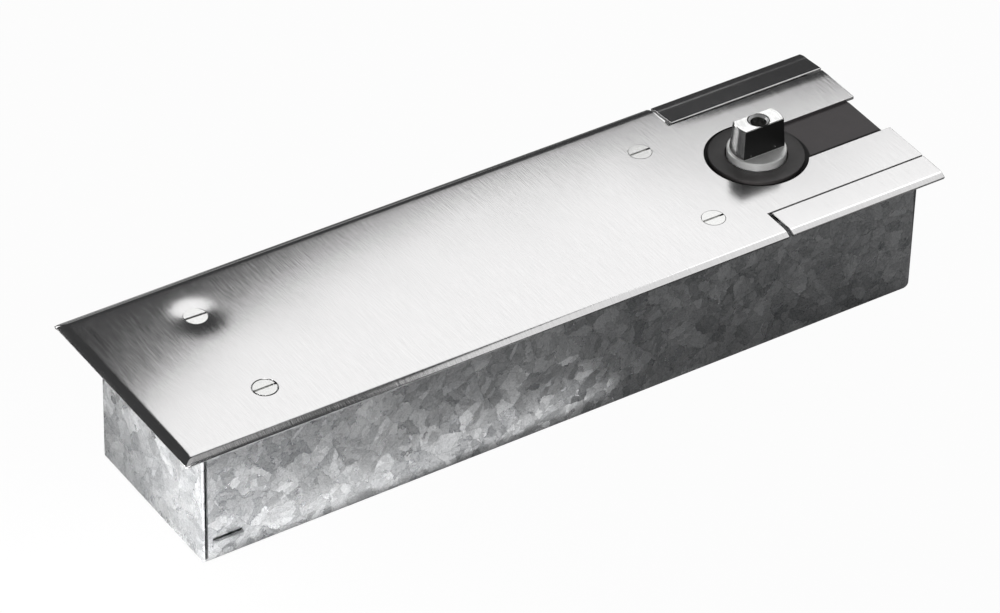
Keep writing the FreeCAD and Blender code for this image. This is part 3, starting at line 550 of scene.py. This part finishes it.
def dark_sheet(name, colour):
    """Sheet with a dark matt coat, faintly mottled, with painted shadow along the front edge and next to the ring."""
    finish = Finish(name, Metallic=0.0)
    mottle = finish.noise(140.0, detail=4.0, roughness=0.6)
    grain = finish.noise(2200.0)
    shade = finish.blend(mottle.between(0.3, 0.7), tint(colour, 0.88), tint(colour, 1.12))
    x, y = finish.parts(finish.place)[:2]
    # Painted shadow: darker in a band inside the plate's front slot edge and under the ring's rim
    front_edge_shadow = y.between(-9.9 * MM, -10.5 * MM)
    ring_shadow = ((x * x + y * y) ** 0.5).between(22.9 * MM, 22.2 * MM)
    painted_shadow = (front_edge_shadow + ring_shadow).limited()
    shade = finish.blend(painted_shadow, shade, tint(colour, 0.04))
    return finish.wear(Base_Color=shade, Roughness=mottle.between(0.3, 0.7, 0.42, 0.52) + painted_shadow * 0.3,
                       Normal=finish.bump(grain, 0.3, 0.02 * MM))


def finish_for(slot):
    """The material of a slot of the record, made once."""
    look = bpy.context.scene.floor_spring
    name = "finish_" + slot
    if name in bpy.data.materials:
        return bpy.data.materials[name]
    makers = {
        "cover_steel": lambda: brushed_steel(name, look),
        "zinc_sheet": lambda: spangled_zinc(name, look),
        "spindle_steel": lambda: turned_steel(name, look),
        "ring_plastic": lambda: moulded_plastic(name, look.ring_colour),
        "dark_sheet": lambda: dark_sheet(name, look.insert_colour),
        "screw_steel": lambda: plain_metal(name, (0.72, 0.72, 0.71), 0.14, scale=1400.0, stain=0.04),
        "zinc_fasteners": lambda: plain_metal(name, (0.55, 0.56, 0.58), 0.30),
        "hard_steel": lambda: plain_metal(name, (0.50, 0.50, 0.51), 0.16, scale=2400.0, depth=0.008 * MM),
        "spring_steel": lambda: plain_metal(name, (0.12, 0.125, 0.14), 0.34),
        "casting_iron": lambda: plain_metal(name, (0.10, 0.105, 0.11), 0.5, depth=0.12 * MM,
                                            metallic=0.35, stain=0.2),
        "bush_bronze": lambda: plain_metal(name, (0.60, 0.38, 0.17), 0.28),
        "seal_rubber": lambda: moulded_plastic(name, (0.018, 0.018, 0.018), 0.5),
        "gasket_fibre": lambda: moulded_plastic(name, (0.16, 0.13, 0.09), 0.75),
    }
    return makers[slot]()


# Cover


DISHED_SCREW = 1
SCREW_Y = 26.6 * MM
FAR_SCREW_X = -252.3 * MM
NEAR_SCREW_X = -39.95 * MM
SCREW_BLOCK = 8.0 * MM
RING_BLOCK = 30.0 * MM
DISH_REACH = 24.0 * MM
JOINT_FALL_WIDTH = 5.0 * MM
JOINT_FALL_RUN = 40.0 * MM
JOINT_SLACK = 0.1 * MM

# Steps of the plate's grid
RIM_STEP = 0.7 * MM
SCREW_STEP = 1.6 * MM


def screw_places():
    """Centres of the four cover screws: far front, far back, near front, near back."""
    return [(x, side * SCREW_Y) for x in (FAR_SCREW_X, NEAR_SCREW_X) for side in (-1, 1)]


def inside_long_edge(y, half_width):
    """Distance inside the nearer long edge."""
    return half_width - np.abs(y)


def rim_drop(distance, look):
    """How far the sheet has gone down at a distance inside its edge: an even slope, rounded into the
    flat by the integral of a smooth step."""
    straight = look.rim_width - look.rim_bend
    t = np.clip((distance - straight) / look.rim_bend, 0.0, 1.0)
    run = np.minimum(distance, straight)
    bent = look.rim_bend * (t - t ** 3 + t ** 4 / 2.0)
    gone = (run + bent) / (straight + look.rim_bend / 2.0)
    return look.rim_depth * (1.0 - gone)


def cover_height(x, y, look):
    """Height of the pressed cover's top: zero on the flat, down at the two long edges and the far
    edge, a shallow round dish about the far back screw, shaped like a bell curve, and a slight fall
    along the back joint that grows with the square of the nearness to it."""
    far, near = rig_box("cover_plate")
    across = rim_drop(inside_long_edge(y, near[1]), look)
    along = rim_drop(x - far[0], look)
    edge = (across ** 4 + along ** 4) ** 0.25
    screw = screw_places()[DISHED_SCREW]
    away = np.hypot(x - screw[0], y - screw[1])
    dish = look.dish_depth * np.exp(-(away / look.dish_radius) ** 2)
    near_joint = np.clip(1.0 - (look.joint_y - y) / JOINT_FALL_WIDTH, 0.0, 1.0)
    near_joint = near_joint * (y < look.joint_y + JOINT_SLACK)
    beside = np.clip((x - look.notch_x) / JOINT_FALL_RUN, 0.0, 1.0)
    return -edge - dish - look.joint_fall * near_joint ** 2 * beside


def ring_patch(x_lines, y_lines, corners, centre, radius, rings, turn=None):
    """Band between a circle and the block of the grid round it. Each ray runs straight from the
    circle to a point on the block's edge, and the rings close up towards the circle."""
    x0, x1, y0, y1 = corners
    slack = 1e-7
    xs = x_lines[(x_lines > x0 - slack) & (x_lines < x1 + slack)]
    ys = y_lines[(y_lines > y0 - slack) & (y_lines < y1 + slack)]
    along_x, along_y = np.ones(len(xs) - 1), np.ones(len(ys) - 1)
    outer_x = np.concatenate([xs[:-1], xs[-1] * along_y, xs[:0:-1], xs[0] * along_y])
    outer_y = np.concatenate([ys[0] * along_x, ys[:-1], ys[-1] * along_x, ys[:0:-1]])
    angle = np.arctan2(outer_y - centre[1], outer_x - centre[0])
    if turn is not None:
        angle = np.interp(angle, *turn)
    inner_x = centre[0] + radius * np.cos(angle)
    inner_y = centre[1] + radius * np.sin(angle)
    share = np.linspace(0.0, 1.0, rings + 1)[:, None] ** 1.4
    x = inner_x + (outer_x - inner_x) * share
    y = inner_y + (outer_y - inner_y) * share
    return x, y


def cover_patches(look):
    """Patches of the main plate: a grid with the slot and the notches left open, and a band of rays
    round each hole."""
    low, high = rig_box("cover_plate")
    far, near, half = low[0], high[0], high[1]
    rim, block, ring_block = look.rim_width, SCREW_BLOCK, RING_BLOCK
    far_x, near_x = FAR_SCREW_X, NEAR_SCREW_X
    x_lines = stations((far, far + rim, RIM_STEP), (far + rim, far_x - DISH_REACH, 2.5 * MM),
                       (far_x - DISH_REACH, far_x - block, SCREW_STEP),
                       (far_x - block, far_x + block, SCREW_STEP),
                       (far_x + block, far_x + DISH_REACH, SCREW_STEP),
                       (far_x + DISH_REACH, near_x - block, 4.0 * MM),
                       (near_x - block, near_x + block, SCREW_STEP), (near_x + block, -ring_block, 2.0 * MM),
                       (-ring_block, look.notch_x, 1.5 * MM), (look.notch_x, ring_block, 2.0 * MM),
                       (ring_block, near, 3.0 * MM))
    half_lines = stations((0.0, look.slot_half, 1.8 * MM), (look.slot_half, SCREW_Y - block, 1.5 * MM),
                          (SCREW_Y - block, ring_block, SCREW_STEP),
                          (ring_block, SCREW_Y + block, SCREW_STEP),
                          (SCREW_Y + block, look.joint_y, 1.0 * MM), (look.joint_y, half - rim, 2.0 * MM),
                          (half - rim, half, RIM_STEP))
    y_lines = np.concatenate([-half_lines[:0:-1], half_lines])
    grid_x, grid_y = np.meshgrid(x_lines, y_lines, indexing="ij")
    points, faces = patch(np.stack([grid_x, grid_y, cover_height(grid_x, grid_y, look)], axis=-1))
    middle = points[faces].mean(axis=1)
    x, y = middle[:, 0], middle[:, 1]
    keep = ~((x > 0.0) & (np.abs(y) < look.slot_half))
    keep &= ~((x > look.notch_x) & (np.abs(y) > look.joint_y))
    keep &= ~((np.abs(x) < ring_block) & (np.abs(y) < ring_block))
    for sx, sy in screw_places():
        keep &= ~((np.abs(x - sx) < block) & (np.abs(y - sy) < block))
    patches = [(points, faces[keep])]
    slot_angle = math.asin(look.slot_half / look.hole_radius)
    corner_angle = math.atan2(look.slot_half, ring_block)
    turn = ([-math.pi, -corner_angle, corner_angle, math.pi],
            [-math.pi, -slot_angle, slot_angle, math.pi])
    bands = [((-ring_block, ring_block, -ring_block, ring_block), (0.0, 0.0), look.hole_radius, 6, turn)]
    sinks = [look.open_sink] + [look.screw_hole_radius] * 3
    bands += [((sx - block, sx + block, sy - block, sy + block), (sx, sy), sink, 5, None)
              for (sx, sy), sink in zip(screw_places(), sinks)]
    for corners, centre, radius, rings, bend in bands:
        x, y = ring_patch(x_lines, y_lines, corners, centre, radius, rings, bend)
        points, faces = patch(np.stack([x, y, cover_height(x, y, look)], axis=-1), round_columns=True)
        middle = points[faces].mean(axis=1)
        in_slot = (middle[:, 0] > 0.0) & (np.abs(middle[:, 1]) < look.slot_half)
        patches.append((points, faces[~in_slot][:, ::-1]))
    return patches


def facing_up(patches):
    """The same patches with each face turned so that it points up."""
    turned = []
    for points, faces in patches:
        a, b, c = points[faces[:, 0]], points[faces[:, 1]], points[faces[:, 3]]
        down = np.cross(b - a, c - a)[:, 2] < 0.0
        faces = np.where(down[:, None], faces[:, ::-1], faces)
        turned.append((points, faces))
    return turned


def strip_patches(side, look):
    """Patches of one side strip: its top, pressed like the plate's edge, and the tongue under it. The
    back strip stands up a little at its joint, leans outwards over its flat, and comes back to the
    plate's own height by a square over its pressed edge."""
    near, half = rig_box("cover_plate")[1][:2]
    lift = look.strip_lift if side > 0 else 0.0
    lean = math.tan(look.strip_lean) if side > 0 else 0.0
    start = look.notch_x + look.strip_end_gap
    x_lines = stations((start, near, 3.0 * MM))
    y_lines = side * stations((look.joint_y + look.strip_gap, half - look.rim_width, 1.6 * MM),
                              (half - look.rim_width, half, RIM_STEP))
    x, y = np.meshgrid(x_lines, y_lines, indexing="ij")
    out = np.abs(y) - look.joint_y - look.strip_gap
    flat = half - look.rim_width - look.joint_y - look.strip_gap
    back_up = np.clip((out - flat) / look.rim_width, 0.0, 1.0) ** 2
    leaning = lift - lean * np.minimum(out, flat) + (lean * flat - lift) * back_up
    top = patch(np.stack([x, y, cover_height(x, y, look) + leaning], axis=-1))
    tongue = look.tongue_width
    x_lines = stations((start, near - look.rim_width, 6.0 * MM))
    y_lines = side * stations((look.joint_y - tongue, look.joint_y + tongue, 2.0 * MM))
    x, y = np.meshgrid(x_lines, y_lines, indexing="ij")
    under = patch(np.stack([x, y, np.full_like(x, -look.sheet_thickness)], axis=-1))
    return facing_up([top, under])


# Turned and wound pieces


def revolved(profile, count=96):
    """Closed surface of a section (radius, height) turned once round Z."""
    profile = np.array(profile)
    angle = np.linspace(0.0, 2.0 * math.pi, count, endpoint=False)
    radius = profile[:, 0][:, None]
    points = np.stack([radius * np.cos(angle), radius * np.sin(angle),
                       np.broadcast_to(profile[:, 1][:, None], (len(profile), count))], axis=-1)
    return patch(points, round_rows=True, round_columns=True)


def rounded_section(r0, r1, z0, z1, edge, steps=5):
    """Section of a ring with its four edges rounded by quarter circles."""
    centres = [(r1 - edge, z0 + edge, -90), (r1 - edge, z1 - edge, 0),
               (r0 + edge, z1 - edge, 90), (r0 + edge, z0 + edge, 180)]
    turn = np.radians(np.linspace(0.0, 90.0, steps))
    corners = []
    for r, z, start in centres:
        angle = math.radians(start) + turn
        corners.append(np.stack([r + edge * np.cos(angle), z + edge * np.sin(angle)], axis=-1))
    return np.concatenate(corners)


END_TURN_PITCH = 0.55


def wound_spring(start, end, mean_radius, wire_radius, turns, axis_z, steps=36, sides=12):
    """Coil spring along X: the wire's circle carried along a helix whose first and last turn lie
    nearly closed, at a pitch given in wire thicknesses, so that the ground ends stand flat."""
    t = np.linspace(0.0, 1.0, int(turns * steps) + 1)
    turn = 2.0 * math.pi * turns * t
    closed = 1.0 / turns
    ease = np.clip((t - closed) / (1.0 - 2.0 * closed), 0.0, 1.0)
    wire = math.copysign(2.0 * wire_radius, end - start)
    end_turn = wire * END_TURN_PITCH
    body = end - start - wire - 2.0 * end_turn
    first = np.clip(t / closed, 0.0, 1.0)
    last = np.clip((t - 1.0 + closed) / closed, 0.0, 1.0)
    x = start + wire / 2.0 + body * ease + end_turn * (first + last)
    centre = np.stack([x, mean_radius * np.cos(turn), axis_z + mean_radius * np.sin(turn)], axis=-1)
    along = np.gradient(centre, axis=0)
    along /= np.linalg.norm(along, axis=1, keepdims=True)
    outward = np.stack([np.zeros_like(turn), np.cos(turn), np.sin(turn)], axis=-1)
    side = np.cross(along, outward)
    angle = np.linspace(0.0, 2.0 * math.pi, sides, endpoint=False)
    ring = outward[:, None] * np.cos(angle)[None, :, None] + side[:, None] * np.sin(angle)[None, :, None]
    points = centre[:, None] + wire_radius * ring
    low, high = sorted((start, end))
    points[..., 0] = np.clip(points[..., 0], low, high)
    rows = [np.broadcast_to(points[0].mean(axis=0), (1, sides, 3)), points,
            np.broadcast_to(points[-1].mean(axis=0), (1, sides, 3))]
    return patch(np.concatenate(rows), round_columns=True)


# Settings


class FloorSpringSettings(bpy.types.PropertyGroup):
    """Sizes and colours of the floor spring's surfaces."""

    sheet_thickness: FloatProperty(name="Sheet thickness", description="Thickness of the cover's sheet",
                                   default=1.5 * MM, unit="LENGTH")
    rim_width: FloatProperty(name="Rim width", description="Width of the pressed edge",
                             default=5.4 * MM, unit="LENGTH")
    rim_bend: FloatProperty(name="Rim bend", description="Width over which the flat turns into the slope",
                            default=5.0 * MM, unit="LENGTH")
    rim_depth: FloatProperty(name="Rim depth", description="How far the edge is pressed down",
                             default=1.65 * MM, unit="LENGTH")
    dish_depth: FloatProperty(name="Dish depth", description="Depth of the dish about the far back screw",
                              default=0.50 * MM, unit="LENGTH")
    dish_radius: FloatProperty(name="Dish radius", description="Reach of the dish about the far back screw",
                               default=7.3 * MM, unit="LENGTH")
    notch_x: FloatProperty(name="Notch start", description="Where the side strips' notches begin",
                           default=-19.5 * MM, unit="LENGTH")
    joint_y: FloatProperty(name="Strip joint", description="Distance of the strips' joints from the middle",
                           default=35.55 * MM, unit="LENGTH")
    strip_gap: FloatProperty(name="Strip gap", description="Gap between a strip and the plate",
                             default=0.6 * MM, unit="LENGTH")
    strip_end_gap: FloatProperty(name="Strip end gap", description="Gap at the inner end of a strip",
                                 default=1.8 * MM, unit="LENGTH")
    strip_lift: FloatProperty(name="Strip lift", description="How far the back strip stands up at its joint",
                              default=0.45 * MM, unit="LENGTH")
    joint_fall: FloatProperty(name="Joint fall", description="How far the plate bends down at the back joint",
                              default=0.22 * MM, unit="LENGTH")
    open_sink: FloatProperty(name="Open sink", description="Radius of the far front screw's worn sink",
                             default=5.4 * MM, unit="LENGTH")
    strip_lean: FloatProperty(name="Strip lean", description="How far the back strip leans outwards",
                              default=math.radians(6.0), unit="ROTATION")
    tongue_width: FloatProperty(name="Tongue width", description="Reach of a strip's tongue",
                                default=5.5 * MM, unit="LENGTH")
    slot_half: FloatProperty(name="Half slot", description="Half the width of the cover's slot",
                             default=12.75 * MM, unit="LENGTH")
    hole_radius: FloatProperty(name="Hole radius", description="Radius of the hole round the spindle",
                               default=21.7 * MM, unit="LENGTH")
    screw_hole_radius: FloatProperty(name="Screw hole radius", description="Radius of a screw's sink",
                                     default=5.0 * MM, unit="LENGTH")
    screw_lean: FloatProperty(name="Screw lean", description="How far the dished screw leans in its sink",
                              default=math.radians(3.5), unit="ROTATION")
    tang_base: FloatProperty(name="Tang base", description="Height where the tang starts",
                             default=4.0 * MM, unit="LENGTH")
    tang_top: FloatProperty(name="Tang top", description="Height of the tang's top",
                            default=17.6 * MM, unit="LENGTH")
    tang_half_base: FloatProperty(name="Half tang at base", description="Half the tang's thickness below",
                                  default=5.4 * MM, unit="LENGTH")
    tang_half_top: FloatProperty(name="Half tang at top", description="Half the tang's thickness above",
                                 default=4.7 * MM, unit="LENGTH")
    steel_colour: FloatVectorProperty(name="Cover steel", description="Colour of the brushed cover",
                                      default=(0.67, 0.665, 0.665), subtype="COLOR", min=0.0, max=1.0)
    steel_gloss: FloatProperty(name="Cover roughness", description="Mean roughness of the cover",
                               default=0.09, min=0.0, max=1.0, subtype="FACTOR")
    steel_grain: FloatProperty(name="Cover grain", description="Strength of the brushed grain",
                               default=0.36, min=0.0, max=1.0, subtype="FACTOR")
    zinc_light: FloatVectorProperty(name="Light zinc", description="Colour of the brightest crystals",
                                    default=(0.93, 0.935, 0.94), subtype="COLOR", min=0.0, max=1.0)
    zinc_dark: FloatVectorProperty(name="Dark zinc", description="Colour of the darkest crystals",
                                   default=(0.17, 0.178, 0.19), subtype="COLOR", min=0.0, max=1.0)
    crystal_scale: FloatProperty(name="Crystals per metre", description="How many crystals lie in a metre",
                                 default=105.0, min=1.0)
    crystal_tilt: FloatProperty(name="Crystal tilt", description="How steeply the crystals lean",
                                default=0.35, min=0.0, max=2.0)
    spindle_colour: FloatVectorProperty(name="Spindle steel", description="Colour of the turned spindle",
                                        default=(0.86, 0.86, 0.85), subtype="COLOR", min=0.0, max=1.0)
    # Colour of the painted dark reflection on the spindle's flats
    flat_colour: FloatVectorProperty(name="Spindle flats", description="Colour of the spindle's black flats",
                                     default=(0.012, 0.012, 0.012), subtype="COLOR", min=0.0, max=1.0)
    ring_colour: FloatVectorProperty(name="Ring", description="Colour of the ring round the spindle",
                                     default=(0.024, 0.022, 0.022), subtype="COLOR", min=0.0, max=1.0)
    insert_colour: FloatVectorProperty(name="Slot insert", description="Colour of the plate in the slot",
                                       default=(0.072, 0.064, 0.066), subtype="COLOR", min=0.0, max=1.0)


# Operators


class MakeCoverPlate(bpy.types.Operator):
    """Make the brushed main plate of the cover, with its pressed edges and the dish at one screw"""

    bl_idname = "floor_spring.cover_plate"
    bl_label = "Cover plate"

    def execute(self, context):
        look = context.scene.floor_spring
        piece = make_piece("cover_plate_sheet", facing_up(cover_patches(look)))
        thicken(piece, look.sheet_thickness)
        ease_edges(piece, 0.18 * MM)
        settle(piece, "cover", ["cover_plate"], "cover_steel")
        return {"FINISHED"}


class MakeSideStrips(bpy.types.Operator):
    """Make the two loose strips beside the spindle"""

    bl_idname = "floor_spring.side_strips"
    bl_label = "Side strips"

    def execute(self, context):
        look = context.scene.floor_spring
        for side, node in ((-1, "side_strip_front"), (1, "side_strip_back")):
            piece = make_piece(node + "_sheet", strip_patches(side, look))
            thicken(piece, look.sheet_thickness)
            ease_edges(piece, 0.38 * MM, segments=3)
            settle(piece, "cover", [node], "cover_steel")
        return {"FINISHED"}


HEAD_BOTTOM = -1.8 * MM
DISHED_HEAD_DROP = 0.25 * MM
SCREW_LEAN_WAY = (0.55, -0.83)


class MakeCoverScrews(bpy.types.Operator):
    """Make the four slotted screws of the cover, the dished one lower and leaning"""

    bl_idname = "floor_spring.cover_screws"
    bl_label = "Cover screws"

    def execute(self, context):
        look = context.scene.floor_spring
        piece = packed_copy("cover_screws", "cover_screw_set")
        flat = np.empty(len(piece.data.vertices) * 3)
        piece.data.vertices.foreach_get("co", flat)
        points = flat.reshape(-1, 3)
        away = points[:, :2] - screw_places()[DISHED_SCREW]
        head = (np.hypot(*away.T) < look.screw_hole_radius) & (points[:, 2] > HEAD_BOTTOM)
        lean = math.tan(look.screw_lean) * (away[head] @ SCREW_LEAN_WAY)
        points[head, 2] -= DISHED_HEAD_DROP + lean
        piece.data.vertices.foreach_set("co", flat)
        ease_edges(piece, 0.08 * MM)
        settle(piece, "cover", ["cover_screws"], "screw_steel")
        return {"FINISHED"}


class MakeSpindle(bpy.types.Operator):
    """Make the spindle with its flat tang, bright where it is turned and black on the flats"""

    bl_idname = "floor_spring.spindle"
    bl_label = "Spindle"

    def execute(self, context):
        piece = packed_copy("spindle", "spindle_shaft")
        ease_edges(piece, 0.3 * MM, segments=3)
        settle(piece, "spindle", ["spindle"], "spindle_steel")
        return {"FINISHED"}


RING_BORE = 12.9 * MM
RING_EDGE = 0.45 * MM


class MakeSpindleRing(bpy.types.Operator):
    """Make the black ring round the spindle"""

    bl_idname = "floor_spring.spindle_ring"
    bl_label = "Spindle ring"

    def execute(self, context):
        low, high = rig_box("spindle_ring")
        section = rounded_section(RING_BORE, high[0], low[2], high[2], RING_EDGE)
        piece = make_piece("spindle_ring_moulded", [revolved(section, 128)], outwards=True)
        ease_edges(piece, 0.05 * MM)
        settle(piece, frame_body("spindle_ring"), ["spindle_ring"], "ring_plastic")
        return {"FINISHED"}


class MakeCementBox(bpy.types.Operator):
    """Make the galvanised box with eased edges"""

    bl_idname = "floor_spring.cement_box"
    bl_label = "Cement box"

    def execute(self, context):
        for node in ("cement_box", "box_far_wall", "box_spindle_wall"):
            piece = packed_copy(node, node + "_sheet")
            ease_edges(piece, 0.2 * MM, angle=math.radians(45))
            settle(piece, frame_body(node), [node], "zinc_sheet")
        return {"FINISHED"}


# Node, radius of the wire and number of turns
SPRINGS = (("outer_spring", 3.2 * MM, 11), ("inner_spring", 1.9 * MM, 15))


class MakeSprings(bpy.types.Operator):
    """Make the two closing springs, one inside the other"""

    bl_idname = "floor_spring.springs"
    bl_label = "Springs"

    def execute(self, context):
        for node, wire, turns in SPRINGS:
            low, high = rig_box(node)
            axis_z = (low[2] + high[2]) / 2.0
            mean_radius = (high[1] - low[1]) / 2.0 - wire
            coil = wound_spring(high[0], low[0], mean_radius, wire, turns, axis_z)
            piece = make_piece(node + "_coil", [coil], outwards=True)
            settle(piece, frame_body(node), [node], "spring_steel")
        return {"FINISHED"}


class FinishPackedParts(bpy.types.Operator):
    """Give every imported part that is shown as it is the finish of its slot"""

    bl_idname = "floor_spring.packed_parts"
    bl_label = "Packed parts"

    def execute(self, context):
        for part in frame["record"]["subparts"]:
            shown = frame["nodes"][part["node"]]
            shown.data.materials.clear()
            shown.data.materials.append(finish_for(part["material_slot"]))
        return {"FINISHED"}


# Stage

CAMERA_PLACE = (-1.0975, -1.4413, 1.3157)
CAMERA_AIM = (-0.14616, -0.03098, 0.0)
CAMERA_ROLL = math.radians(1.6830)
CAMERA_LENS = 195.08
CAMERA_SENSOR = 36.0
CAMERA_REACH = 20.0

FLOOR_HALF = 6.0
FLOOR_GAP = 0.0001
FLOOR_COLOUR = (0.38, 0.38, 0.38, 1.0)
FLOOR_GLOW = 0.97
WHITE = (1.0, 1.0, 1.0, 1.0)
STUDIO_COLOUR = (0.97, 0.98, 1.0, 1.0)
STUDIO_STRENGTH = 0.058

# Name, place, point it faces, size and brightness of each lamp, and its roll if it has one
LAMPS = (
    ("top_softbox", (-0.12, 0.0, 1.6), (-0.12, 0.0001, 0.0), (1.1, 0.7), 0.5),
    ("front_softbox", (0.0, -2.7, 0.75), (-0.1, 0.0, 0.0), (2.6, 0.9), 0.25),
    ("front_right_softbox", (1.9, -1.9, 0.75), (-0.1, 0.0, 0.0), (2.4, 0.9), 0.32),
    ("right_softbox", (2.7, -0.3, 0.75), (-0.1, 0.0, 0.0), (2.2, 0.9), 0.32),
    ("far_softbox", (-2.9, 0.2, 0.75), (-0.1, 0.0, 0.0), (2.2, 0.9), 0.4),
    ("back_low_softbox", (0.1, 2.9, 0.45), (-0.1, 0.0, 0.0), (2.4, 0.5), 0.35),
    ("left_softbox", (-0.56, 0.71, 0.36), (0.0, 0.0, 0.0), (0.50, 0.20), 2.6),
    ("far_corner_lamp", (-0.32, -0.12, 0.10), (-0.32, -0.1199, -0.10), (0.12, 0.08), 9.0),
    ("far_end_lamp", (-0.36, -0.06, 0.02), (-0.36, -0.0599, -0.18), (0.06, 0.10), 19.0),
    ("far_low_lamp", (-0.345, 0.07, -0.0645), (-0.345, 0.0701, 0.10), (0.05, 0.13), 0.8),
    ("corner_low_lamp", (-0.345, -0.078, -0.0645), (-0.345, -0.0779, 0.10), (0.06, 0.05), 3.0),
)
ROUND_LAMPS = (
    ("back_softbox", (0.2784, 0.2466, 0.5134), (0.0501, -0.0808, 0.2123), (0.90, 0.4814), 1.28, 0.2037),
    ("rim_softbox", (0.41, -0.12, 0.50), (0.41, -0.07, 0.0), (0.74, 0.44), 0.97),
    ("low_strip_lamp", (-0.215, -0.0495, -0.0645), (-0.215, -0.0494, 0.10), (0.25, 0.017), 0.95),
    ("back_low_lamp", (-0.14, 0.46, -0.0645), (-0.14, 0.4601, 0.10), (0.14, 0.30), 0.45),
)
# Lights the collar and the ring, and is mirrored by nothing
SPINDLE_LAMP = ("spindle_lamp", (-0.019, -0.0282, 0.0045), (0.0, 0.0, 0.003), (0.026, 0.003), 22.0)


def look_at(place, aim, roll=0.0):
    """Turn and place of something that looks from one point to another, rolled about its view."""
    place, aim = Vector(place), Vector(aim)
    turn = (aim - place).to_track_quat("-Z", "Y").to_matrix().to_4x4()
    return Matrix.Translation(place) @ turn @ Matrix.Rotation(roll, 4, "Z")


def add_lamp(name, place, aim, size, brightness, roll=0.0, shape="RECTANGLE"):
    """Soft lamp that faces a point. Its brightness is what a mirror would show: 1 is white."""
    data = bpy.data.lights.new(name, "AREA")
    data.shape = shape
    data.size, data.size_y = size
    area = size[0] * size[1] * (math.pi / 4.0 if shape == "ELLIPSE" else 1.0)
    data.energy = brightness * math.pi * area
    lamp = bpy.data.objects.new(name, data)
    lamp.visible_camera = False
    bpy.context.scene.collection.objects.link(lamp)
    lamp.matrix_world = look_at(place, aim, roll)
    return lamp


def floor_finish():
    """Plain pale floor: white to the camera, a little darker where it is shaded, and lit by the lamps
    in everything that mirrors it. From below it is clear."""
    finish = Finish("floor_pale", Base_Color=FLOOR_COLOUR, Roughness=0.9)
    seen = Number(finish, finish.node("ShaderNodeLightPath").outputs["Is Camera Ray"]) * FLOOR_GLOW
    glow = finish.node("ShaderNodeEmission", None, {"Color": WHITE, "Strength": 1.0})
    lit = finish.mixed(seen, finish.shader, glow)
    from_below = finish.node("ShaderNodeNewGeometry").outputs["Backfacing"]
    sheet = finish.mixed(from_below, lit, finish.node("ShaderNodeBsdfTransparent"))
    finish.feed(finish.tree.nodes["Material Output"].inputs["Surface"], sheet.outputs[0])
    return finish.material


def lay_floor(scene):
    """A flat square just under the box."""
    low = packed_bounds[0][2] - FLOOR_GAP
    corners = [(x * FLOOR_HALF, y * FLOOR_HALF, low) for x, y in ((-1, -1), (1, -1), (1, 1), (-1, 1))]
    floor = bpy.data.meshes.new("floor")
    floor.from_pydata(corners, [], [(0, 1, 2, 3)])
    floor.materials.append(floor_finish())
    floor_piece = bpy.data.objects.new("floor", floor)
    scene.collection.objects.link(floor_piece)
    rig.stage(floor_piece)


def light_studio(scene):
    """A dim world, white to the camera, and the lamps."""
    world = bpy.data.worlds.new("studio")
    world.use_nodes = True
    studio = Nodes(world.node_tree)
    dim = studio.tree.nodes["Background"]
    studio.feed(dim.inputs["Color"], STUDIO_COLOUR)
    studio.feed(dim.inputs["Strength"], STUDIO_STRENGTH)
    backdrop = studio.node("ShaderNodeBackground", None, {"Color": WHITE, "Strength": 1.0})
    to_camera = studio.node("ShaderNodeLightPath").outputs["Is Camera Ray"]
    both = studio.mixed(to_camera, dim, backdrop)
    studio.feed(studio.tree.nodes["World Output"].inputs["Surface"], both.outputs[0])
    scene.world = world
    for lamp in LAMPS:
        add_lamp(*lamp)
    for lamp in ROUND_LAMPS:
        add_lamp(*lamp, shape="ELLIPSE")
    add_lamp(*SPINDLE_LAMP).visible_glossy = False


def set_camera(scene):
    """The camera at the photograph's angle."""
    data = bpy.data.cameras.new("camera")
    data.lens = CAMERA_LENS
    data.sensor_width = CAMERA_SENSOR
    data.clip_end = CAMERA_REACH
    camera = bpy.data.objects.new("camera", data)
    scene.collection.objects.link(camera)
    camera.matrix_world = look_at(CAMERA_PLACE, CAMERA_AIM, CAMERA_ROLL)
    scene.camera = camera


class SetStage(bpy.types.Operator):
    """Set the floor, the lamps, the world and the camera"""

    bl_idname = "floor_spring.stage"
    bl_label = "Stage"

    def execute(self, context):
        context.scene.view_settings.view_transform = "Standard"
        lay_floor(context.scene)
        light_studio(context.scene)
        set_camera(context.scene)
        return {"FINISHED"}


class FloorSpringPanel(bpy.types.Panel):
    """Lists the steps that make the floor spring"""

    bl_idname = "VIEW3D_PT_floor_spring"
    bl_label = "Floor spring"
    bl_space_type = "VIEW_3D"
    bl_region_type = "UI"
    bl_category = "Floor spring"

    def draw(self, context):
        for step in STEPS:
            self.layout.operator(step.bl_idname)


STEPS = (FinishPackedParts, MakeCoverPlate, MakeSideStrips, MakeCoverScrews, MakeSpindle, MakeSpindleRing,
         MakeCementBox, MakeSprings, SetStage)
CLASSES = (FloorSpringSettings,) + STEPS + (FloorSpringPanel,)


def register():
    for each in CLASSES:
        bpy.utils.register_class(each)
    bpy.types.Scene.floor_spring = PointerProperty(type=FloorSpringSettings)


def unregister():
    del bpy.types.Scene.floor_spring
    for each in reversed(CLASSES):
        bpy.utils.unregister_class(each)


def main():
    """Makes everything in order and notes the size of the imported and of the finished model."""
    register()
    for step in STEPS:
        group, name = step.bl_idname.split(".")
        getattr(getattr(bpy.ops, group), name)()
    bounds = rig.bounds()
    with open(SIZE_FILE, "w") as file:
        json.dump({"packed": [list(corner) for corner in packed_bounds],
                   "finished": [list(corner) for corner in bounds]}, file)


if __name__ == "__main__":
    main()
